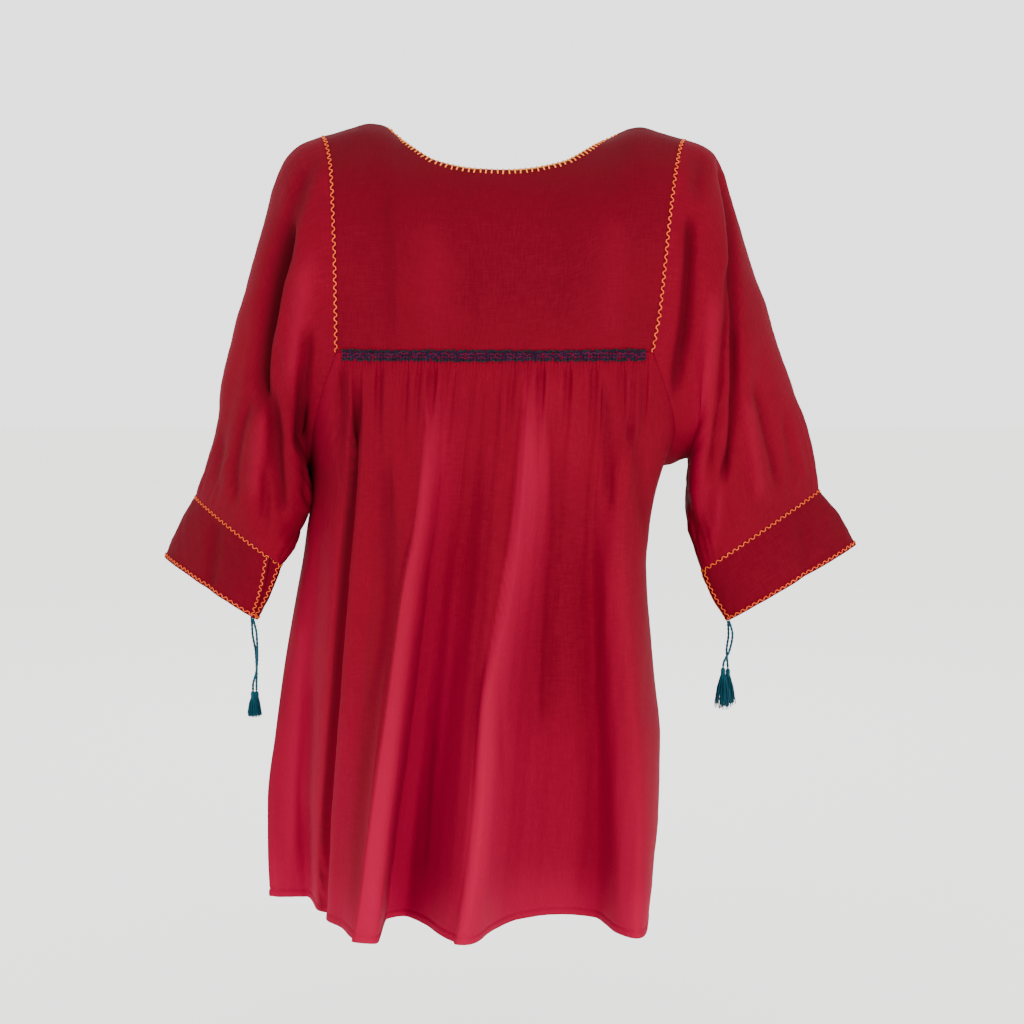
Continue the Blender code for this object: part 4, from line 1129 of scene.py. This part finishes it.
@dataclass
class SleevePiece:
    """One three-quarter sleeve, a tube from the armhole to just above the cuff."""

    hand: Hand
    columns: int = 168
    rows: tuple[int, int, int] = (12, 65, 19)

    def oval(self, outer: Array, inner: Array, back: Array, front: Array, way: Array,
             turn: Array) -> tuple[Array, Array]:
        """Middle and points of oval sections.

        Args:
            outer: outer point of each section.
            inner: inner point of each section.
            back: swell towards the back.
            front: swell towards the front.
            way: share of the way from armhole to cuff.
            turn: place round the section, 0 outer, 0.5 back, 1 inner, 1.5 front.

        Returns:
            The sections' middles and the points on them.
        """
        facing = self.hand.value
        cuff_axis = np.array([facing * 0.55, -0.10, -0.83])
        axis = mix(np.array([facing, 0.0, 0.0]), cuff_axis, ease(way)[..., None])
        middle, half = mix(outer, inner, 0.5), 0.5 * (outer - inner)
        backward = facing * unit(np.cross(axis, half))
        angle = math.pi * turn
        swell = np.where(np.sin(angle) >= 0.0, back, front) * np.sin(angle)
        return middle, middle + half * np.cos(angle)[..., None] + backward * swell[..., None]

    def section(self, way: Array, turn: Array) -> tuple[Array, Array]:
        """Plain oval section of the sleeve, before the armhole shapes it."""
        rows = SLEEVES[self.hand]
        outer, inner = (np.stack([rows.at(end + "_x", way), rows.at(end + "_y", way),
                                  -rows.at(end + "_drop", way)], axis=-1) for end in ("outer", "inner"))
        return self.oval(outer, inner, rows.at("back", way), rows.at("front", way), way, turn)

    def armhole(self, turn: Array) -> Array:
        """Points of the armhole seam, over the yoke's corner to the underarm."""
        seams = {}
        end = 0.0 if self.hand is Hand.LEFT else 1.0
        step = np.where(turn <= 1.0, turn, 2.0 - turn)
        for side in Side:
            yoke, panel = YokePiece(side), BodyPanel(side)
            corner = panel.corners()[0 if self.hand is Hand.LEFT else 1]
            rise = 1.0 - np.clip(2.0 * step, 0.0, 1.0) ** ROWS_TO_RIDGE
            upper = yoke.points(np.full_like(step, end), rise)
            share = mix(corner, end, np.clip(2.0 * step - 1.0, 0.0, 1.0))
            lower = panel.points(share, panel.top_drop(share))
            seams[side] = np.where((step <= 0.5)[..., None], upper, lower)
        return np.where((turn <= 1.0)[..., None], seams[Side.BACK], seams[Side.FRONT])

    def points(self, way: Array, turn: Array) -> Array:
        """Points of the sleeve's cloth, with the solid's own large creases."""
        middle, points = self.section(way, turn)
        _, start = self.section(np.zeros_like(way), turn)
        fade = 1.0 - ease(way / 0.45)
        points = points + (self.armhole(turn) - start) * fade[..., None]
        outward = unit(points - middle)
        depth = np.zeros_like(way)
        for from_way, from_turn, to_way, to_turn, rise, reach in SLEEVE_CREASES[self.hand]:
            line = np.array([to_way - from_way, to_turn - from_turn]) * SLEEVE_SIZE
            here = np.stack([way - from_way, turn - from_turn], axis=-1) * SLEEVE_SIZE
            share = np.clip(here @ line / (line @ line), 0.0, 1.0)
            away = np.linalg.norm(here - line * share[..., None], axis=-1) / reach
            depth = depth + rise * bell(away)
        return points - outward * (depth * window(way, 0.0, 0.2, 1.0, 0.12))[..., None]

    def drapes(self, turn: Array, points: Array) -> Array:
        """Relief of the long folds, each on its own half of the sleeve."""
        shown = {side: ease(-side.value * np.sin(math.pi * turn) / 0.3) for side in Side}
        return sum(lifts(SLEEVE_FOLDS[self.hand, side], points) * shown[side] for side in Side)

    def creases(self, way: Array, turn: Array, points: Array) -> Array:
        """Relief on the sleeve: long folds, the cuff's gathers and slight wrinkles."""
        total = SLEEVE_WRINKLES.lift(turn, way) * ease((way - 0.05) / 0.15)
        total = (total + self.drapes(turn, points)) * ease(way / 0.10)
        return total * ease((1.0 - way) / 0.05) + SLEEVE_GATHERS.lift(turn, way, self.hand.value)

    def build(self) -> bpy.types.Object:
        """Make the sleeve's cloth."""
        way, turn = np.meshgrid(stepped((0.0, 0.12, 0.9, 1.0), self.rows),
                                np.linspace(0.0, 2.0, self.columns + 1), indexing="ij")
        turn[:, -1] = 0.0
        points = self.points(way, turn)
        turned = self.hand is Hand.LEFT
        wrapped = np.concatenate([points[:, -2:-1], points, points[:, 1:2]], axis=1)
        normals = surface_normals(wrapped, turned)[:, 1:-1]
        # Painted highlight on the sleeve folds' ridges and painted shade in their creases.
        fade = painted_fold_light(self.drapes(turn, points))
        points = points + normals * self.creases(way, turn, points)[..., None]
        points[:, -1] = points[:, 0]
        thing = cloth_shell("sleeve_" + self.hand.word, points, fade, (0.42, 0.38), CRIMSON, closed=True,
                            turned=turned)
        return thing


@dataclass
class CuffPiece:
    """One cuff: a doubled band whose two ends stand apart at the slit."""

    hand: Hand
    columns: int = 110
    rows: int = 26

    def points(self, turn: Array, fall: Array) -> Array:
        """Points of the cuff from its seam (fall 0) to its lower edge (fall 1)."""
        sleeve, size = SleevePiece(self.hand), CUFFS[self.hand]
        end = np.ones_like(turn)
        middle, top = sleeve.section(end, turn)
        outer, inner = (np.broadcast_to(np.array(p), top.shape) for p in (size.outer, size.inner))
        swell = np.full_like(turn, size.swell)
        _, bottom = sleeve.oval(outer, inner, swell, swell, end, turn)
        out = CUFF_BULGE * np.sin(math.pi * fall) - 0.0024 * ease((-1.0 - turn) / 0.02)
        bulge = unit(top - middle) * out[..., None]
        return mix(top, bottom, fall[..., None]) + bulge

    def turns(self, fall: Array, share: Array) -> Array:
        """Turn at a share of the way from the cuff's far end to its near end."""
        size = CUFFS[self.hand]
        return mix(mix(*size.far, fall), mix(*size.near, fall), share)

    def surface(self, fall: Array, share: Array) -> tuple[Array, Array]:
        """Points and outward normals over a grid of falls and shares."""
        turn = self.turns(fall, share)
        points = self.points(turn, fall)
        normals = surface_normals(points, self.hand is Hand.LEFT)
        soft = 0.0006 * waver(share * 5.0 + fall, 0.6) + 0.0003 * waver(share * 13.0 - 2.0 * fall, 1.4)
        crease = lifts(CUFF_FOLDS[self.hand], points) * ease(turn / 0.1)
        edge = 0.0005 * ease((fall - 0.93) / 0.03)
        return points + normals * ((soft + crease) * ease(fall / 0.1) + edge)[..., None], normals

    def build(self) -> bpy.types.Object:
        """Make the cuff's cloth."""
        fall, share = np.meshgrid(*(np.linspace(0.0, 1.0, count + 1) for count in (self.rows, self.columns)),
                                  indexing="ij")
        points, _ = self.surface(fall, share)
        # Painted highlight and painted shade on the cuff's creases, fading out towards the far end of the
        # slit.
        fade = painted_fold_light(lifts(CUFF_FOLDS[self.hand], points)) * ease(share / 0.5)
        thing = cloth_shell("cuff_" + self.hand.word, points, fade, (0.30, 0.075), CUFF_CRIMSON,
                            turned=self.hand is Hand.LEFT)
        return thing

    def line(self, fall: Array, share: Array) -> SeamLine:
        """Line over the cuff at falls and shares that run together."""
        spread = np.array([-0.01, 0.0, 0.01])
        points, normals = [], []
        for here, place in zip(fall, share):
            falls, shares = np.meshgrid(np.clip(here + spread, 0.0, 1.0), np.clip(place + spread, 0.0, 1.0),
                                        indexing="ij")
            grid, looks = self.surface(falls + 1e-5 * spread[:, None], shares + 1e-5 * spread[None, :])
            points.append(grid[1, 1])
            normals.append(looks[1, 1])
        return SeamLine(np.array(points), np.array(normals))

    def stitches(self) -> bpy.types.Object:
        """Sew the orange waves along the seam, the lower edge and both ends of the slit."""
        share = np.linspace(0.004, 0.996, 180)
        fall, size = np.linspace(0.03, 0.97, 40), CUFFS[self.hand]
        far, near = mix(*size.far, fall), mix(*size.near, fall)
        bend = np.maximum((-1.0 - far) / (near - far), 0.016)
        lines = [self.line(np.full_like(share, 0.012), share), self.line(np.full_like(share, 0.955), share),
                 self.line(fall, np.full_like(fall, 0.984)), self.line(fall, bend)]
        runs = [line.wave(0.0066, 0.0013, 0.0009) for line in lines]
        return thread_piece("cuff_" + self.hand.word + "_stitches", runs, 0.00044, ORANGE_THREAD,
                            "deep_crimson_cotton")


@dataclass
class NeckStitching:
    """Blanket stitch round the neck: an edge cord and a tooth every few millimetres."""

    spacing: float = 0.0054
    tooth: float = 0.0052

    def build(self) -> list[bpy.types.Object]:
        """Sew the edge cord and the teeth over both yokes."""
        edges, teeth = [], []
        for side in Side:
            line = YokePiece(side).neck_edge()
            _, points, normals, along = line.spaced(self.spacing)
            inward = unit(np.cross(normals, along))
            inward = inward * -np.sign(inward[:, 2:3])
            edge = points - inward * 0.0002
            edges.append(edge if side is Side.BACK else edge[::-1])
            x = points[:, 0]
            steep = 0.45 + 0.55 * window(x, NECK_LEFT, 0.045, NECK_RIGHT, 0.030)
            uneven = self.tooth * steep * (1.0 + 0.13 * waver(np.arange(len(points)) / 3.1, 1.0))
            for i in range(1, len(points) - 1):
                start = points[i] - inward[i] * 0.0008
                lean = along[i] * 0.0004 * math.sin(2.4 * i)
                teeth.append(np.array([start, start + normals[i] * 0.0011,
                                       points[i] + inward[i] * 0.35 * uneven[i] + normals[i] * 0.0012,
                                       points[i] + inward[i] * 0.85 * uneven[i] + normals[i] * 0.0011 + lean,
                                       points[i] + inward[i] * uneven[i] + normals[i] * 0.0002 + lean]))
        loop = np.concatenate([edges[0], edges[1], edges[0][:1]])
        return [thread_piece("neck_edge_cord", [loop], 0.0010, EDGE_CORD),
                thread_piece("neck_blanket_stitches", teeth, 0.00075, NECK_THREAD)]


@dataclass
class SeamStitching:
    """Orange waves over the seams between the yokes and the sleeves."""

    period: float = 0.0075
    swing: float = 0.0015

    def build(self) -> bpy.types.Object:
        """Sew one wave from each corner of the body up to the shoulder."""
        runs = [YokePiece(side).sleeve_seam(hand).wave(self.period, self.swing, 0.0011)
                for side in Side for hand in Hand]
        return thread_piece("yoke_seam_stitches", runs, 0.00055, ORANGE_THREAD)


@dataclass
class GatheringStitches:
    """Dark stitches over the gathered band below a yoke.

    Upright stitches lie over the pleats, and broken runs of cable stitch cross them.
    """

    side: Side
    count: int = 100
    height: float = 0.0118
    top: float = -0.0034
    rows: int = 7

    def uprights(self, place: Array) -> list[Array]:
        """Upright stitches over the pleats, one at each place."""
        panel = BodyPanel(self.side)
        number = np.arange(len(place))
        start = self.top + 0.0012 * np.abs(np.sin(1.7 * number))
        end = self.top + self.height + 0.0010 * np.sin(2.9 * number + 0.5)
        slant = 0.0011 * np.sin(4.3 * number) / BAND_WIDTH
        steps = [panel.band(mix(start, end, k / 3.0), place + slant * k / 3.0, lift)
                 for k, lift in enumerate((0.0005, 0.0013, 0.0013, 0.0005))]
        return list(np.stack(steps, axis=1))

    def cable(self, row: int) -> list[Array]:
        """One broken run of cable stitch across the pleats."""
        panel = BodyPanel(self.side)
        place = np.linspace(0.020, 0.974, 500)
        depth = self.top + 0.0014 + row * (self.height - 0.0028) / (self.rows - 1.0)
        wave = 0.0007 * waver(place * 16.0, 1.1 * row) + 0.0006 * np.sin(2.0 * math.pi * place * 50.0 + row)
        drift = 0.0015 * waver(place * 2.2, 0.5 * row + self.side.value)
        down = unit(panel.band(depth + 0.004, place, 0.0) - panel.band(depth, place, 0.0))
        line = panel.band(depth, place, 0.0014) + down * (wave + drift * 0.5)[:, None]
        shown = waver(place * 21.0, 2.7 * row + self.side.value) > -0.45
        breaks = np.flatnonzero(np.diff(shown.astype(int))) + 1
        return [part for part, show in zip(np.split(line, breaks), np.split(shown, breaks))
                if show[0] and len(part) > 4]

    def build(self) -> list[bpy.types.Object]:
        """Sew the band's stitches."""
        place = np.linspace(0.022, 0.972, self.count)
        name = self.side.word + "_band_"
        rows = [self.cable(row) for row in range(self.rows)]
        sewing = (("upright_stitches", self.uprights(place), 0.00066, NAVY_THREAD),
                  ("cable_navy", rows[1] + rows[3] + rows[5], 0.00070, NAVY_THREAD),
                  ("cable_purple", rows[2] + rows[4], 0.00070, PURPLE_THREAD),
                  ("cable_pine", rows[0] + rows[6], 0.00066, PINE_THREAD))
        return [thread_piece(name + word, *made) for word, *made in sewing]


@dataclass(frozen=True)
class TieRoute:
    """Route of a tie cord below its end of the cuff, and the tassel on it, in millimetres."""

    steps: tuple[tuple[float, float, float], ...]
    tassel_length: float
    tassel_spread: float


TIES = {
    (Hand.LEFT, "a"): TieRoute(
        ((0, 0, -0.6), (16, 3.4, -1), (36, 4, -1), (52, 3.2, -4), (68, -0.4, -6), (72, -0.4, -6)), 27, 6.4),
    (Hand.LEFT, "b"): TieRoute(
        ((0, 0, 0.6), (16, 0.4, 2.4), (36, 3.4, 2.6), (56, 4, 5), (72, 3.4, 6.6), (76, 3.4, 6.6)), 26.5, 6),
    (Hand.RIGHT, "a"): TieRoute(
        ((0, 0, -1.4), (14, 3.4, -2.2), (30, 0.4, -3.4), (42, -5.6, -6.4), (46, -6.2, -6.4)), 43, 9.8),
    (Hand.RIGHT, "b"): TieRoute(
        ((0, 0, 1.4), (14, 0.8, 2.2), (30, -0.8, 3.4), (45, 0.6, 7), (49, 1, 7)), 38.5, 9.8),
}


@dataclass
class TieCord:
    """Twisted two-ply tie cord with a tassel on its end."""

    hand: Hand
    letter: str
    diameter: float = 0.0026
    lay_length: float = 0.0085
    strands: int = 60
    steps: int = 90

    def route(self) -> Array:
        """Points of the cord's middle line, from its end of the cuff down."""
        size = CUFFS[self.hand]
        end = np.array([(size.near if self.letter == "a" else size.far)[1]])
        corner = CuffPiece(self.hand).points(end, np.ones(1))[0]
        rows = table("drop across out", "", TIES[self.hand, self.letter].steps)
        drop = np.linspace(0.0, rows.rows[-1][0], self.steps + 1)
        start = corner - np.array([0.0, 0.0, 0.0009])
        return start + np.stack([rows.at("across", drop), rows.at("out", drop), -drop], axis=-1)

    def cord(self) -> bpy.types.Object:
        """Make the cord: two plies laid round each other."""
        route = self.route()
        along = unit(np.gradient(route, axis=0))
        sideways = unit(np.cross(along, np.array([0.0, 1.0, 0.0])))
        other = np.cross(along, sideways)
        angle = np.linspace(0.0, 2.0 * math.pi, 17)
        lengths = run_lengths(route)
        twist = 2.0 * math.pi * lengths / self.lay_length
        radius = 0.5 * self.diameter * (0.66 + 0.34 * np.abs(np.cos(angle[None, :] - twist[:, None])) ** 0.8)
        radius[:, -1] = radius[:, 0]
        points = (route[:, None] + sideways[:, None] * (radius * np.cos(angle))[..., None]
                  + other[:, None] * (radius * np.sin(angle))[..., None])
        points[:, -1] = points[:, 0]
        name = f"tie_{self.hand.word}_{self.letter}"
        mesh = grid_mesh(name + "_twist", points, (math.pi * self.diameter, float(lengths[-1])), closed=True)
        bm = bmesh.new()
        bm.from_mesh(mesh)
        bmesh.ops.holes_fill(bm, edges=[edge for edge in bm.edges if edge.is_boundary], sides=0)
        bmesh.ops.recalc_face_normals(bm, faces=bm.faces)
        bm.to_mesh(mesh)
        bm.free()
        thing = new_piece(name + "_twist", mesh, TEAL_COTTON.material())
        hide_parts(name)
        return thing

    def tassel(self) -> list[bpy.types.Object]:
        """Make the tassel: a bound head and loose strands."""
        tie = TIES[self.hand, self.letter]
        spread = tie.tassel_spread / MILLIMETRES
        top = self.route()[-1] - np.array([0.0, 0.0, 0.0003])
        name = f"tassel_{self.hand.word}_{self.letter}"
        golden = math.pi * (3.0 - math.sqrt(5.0))
        runs = []
        for i in range(self.strands):
            share = (i + 0.5) / self.strands
            angle, radius = golden * i, math.sqrt(share)
            way = np.array([math.cos(angle), math.sin(angle), 0.0])
            fall = tie.tassel_length / MILLIMETRES * (0.93 + 0.07 * math.sin(3.7 * i))
            curl = 0.0005 * math.sin(5.1 * i)
            bend = np.array([-way[1], way[0], 0.0]) * curl
            widths = (0.0004, 0.0019, 0.0021, 0.0017, 0.0027, 0.62 * spread, 0.90 * spread)
            falls = (0.0003, 0.0020, 0.0046, 0.0068, 0.0090, 0.55 * fall, fall)
            swings = (0.0, 0.0, 0.0, 0.0, 0.3, 1.0, -0.6)
            runs.append(np.array([top + way * radius * width + bend * swing - np.array([0.0, 0.0, drop])
                                  for width, drop, swing in zip(widths, falls, swings)]))
        strands = thread_piece(name + "_strands", runs, 0.00042, TEAL_COTTON, "teal_cord")
        turns = np.linspace(0.0, 2.0 * math.pi * 3.5, 60)
        wrap = top + np.stack([0.0020 * np.cos(turns), 0.0020 * np.sin(turns),
                               -0.0060 - 0.0018 * turns / turns[-1]], axis=-1)
        binding = thread_piece(name + "_binding", [wrap], 0.00045, TEAL_COTTON, "teal_cord")
        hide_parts(name)
        return [strands, binding]

    def build(self) -> list[bpy.types.Object]:
        cord = self.cord()
        pieces = self.tassel()
        route = self.route()
        return [cord, *pieces]


@dataclass
class Studio:
    """Pale floor and backdrop, soft light, and the camera at the photograph's angle."""

    position: tuple[float, float, float] = (0.008, -2.4, -0.11)
    focal_pixels: float = 2400.0
    pitch_pixels: float = 277.0
    floor_drop: float = 1.02

    def camera(self) -> None:
        """Place the camera so that the blouse fills the frame as in the photograph."""
        data = bpy.data.cameras.new("camera")
        data.sensor_width = 36.0
        data.lens = 36.0 * self.focal_pixels / 1024.0
        camera = placed("camera", data)
        camera.location = self.position
        pitch = math.atan2(self.pitch_pixels, self.focal_pixels)
        camera.rotation_euler = (0.5 * math.pi - pitch, 0.0, 0.0)
        bpy.context.scene.camera = camera

    def light(self, name: str, place: tuple[float, float, float], size: float, power: float) -> None:
        """Add a soft square light that looks at the blouse's middle."""
        data = bpy.data.lights.new(name, "AREA")
        data.size = size
        data.energy = power
        lamp = placed(name, data)
        lamp.location = place
        lamp.rotation_euler = (Vector(place) - Vector((0.0, 0.0, -0.4))).to_track_quat("Z", "Y").to_euler()

    def build(self) -> None:
        """Set up the floor, the light and the camera."""
        bm = bmesh.new()
        bmesh.ops.create_grid(bm, x_segments=1, y_segments=1, size=9.0)
        bmesh.ops.translate(bm, vec=(0.0, 0.0, -self.floor_drop), verts=bm.verts)
        floor = placed("floor", finished_mesh(bm, "floor"))
        paint = bpy.data.materials.new("pale_studio_floor")
        paint.use_nodes = True
        shader = paint.node_tree.nodes["Principled BSDF"]
        shader.inputs["Base Color"].default_value = linear(STUDIO_GREY)
        shader.inputs["Roughness"].default_value = 0.9
        floor.data.materials.append(paint)
        world = bpy.data.worlds.new("studio")
        world.use_nodes = True
        background = world.node_tree.nodes["Background"]
        background.inputs["Color"].default_value = linear("#FFFFFF")
        background.inputs["Strength"].default_value = 2.40
        bpy.context.scene.world = world
        self.light("key", (1.25, -2.5, -0.60), 0.9, 74.0)
        self.light("fill", (-1.7, -2.3, -0.4), 1.8, 46.0)
        self.light("back", (0.0, 2.4, 1.4), 2.0, 25.0)
        self.camera()


def main() -> None:
    """Build the blouse piece by piece."""
    logging.basicConfig(level=logging.INFO, format="%(name)s %(message)s")
    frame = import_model()
    LOG.info("frame with nodes %s", ", ".join(sorted(frame["nodes"])))
    Studio().build()
    for hand in Hand:
        for letter in ("a", "b"):
            TieCord(hand, letter).build()
    for side in Side:
        YokePiece(side).build()
        BodyPanel(side).build()
        GatheringStitches(side).build()
    for hand in Hand:
        SleevePiece(hand).build()
        cuff = CuffPiece(hand)
        cuff.build()
        cuff.stitches()
    NeckStitching().build()
    SeamStitching().build()


if __name__ == "__main__":
    main()
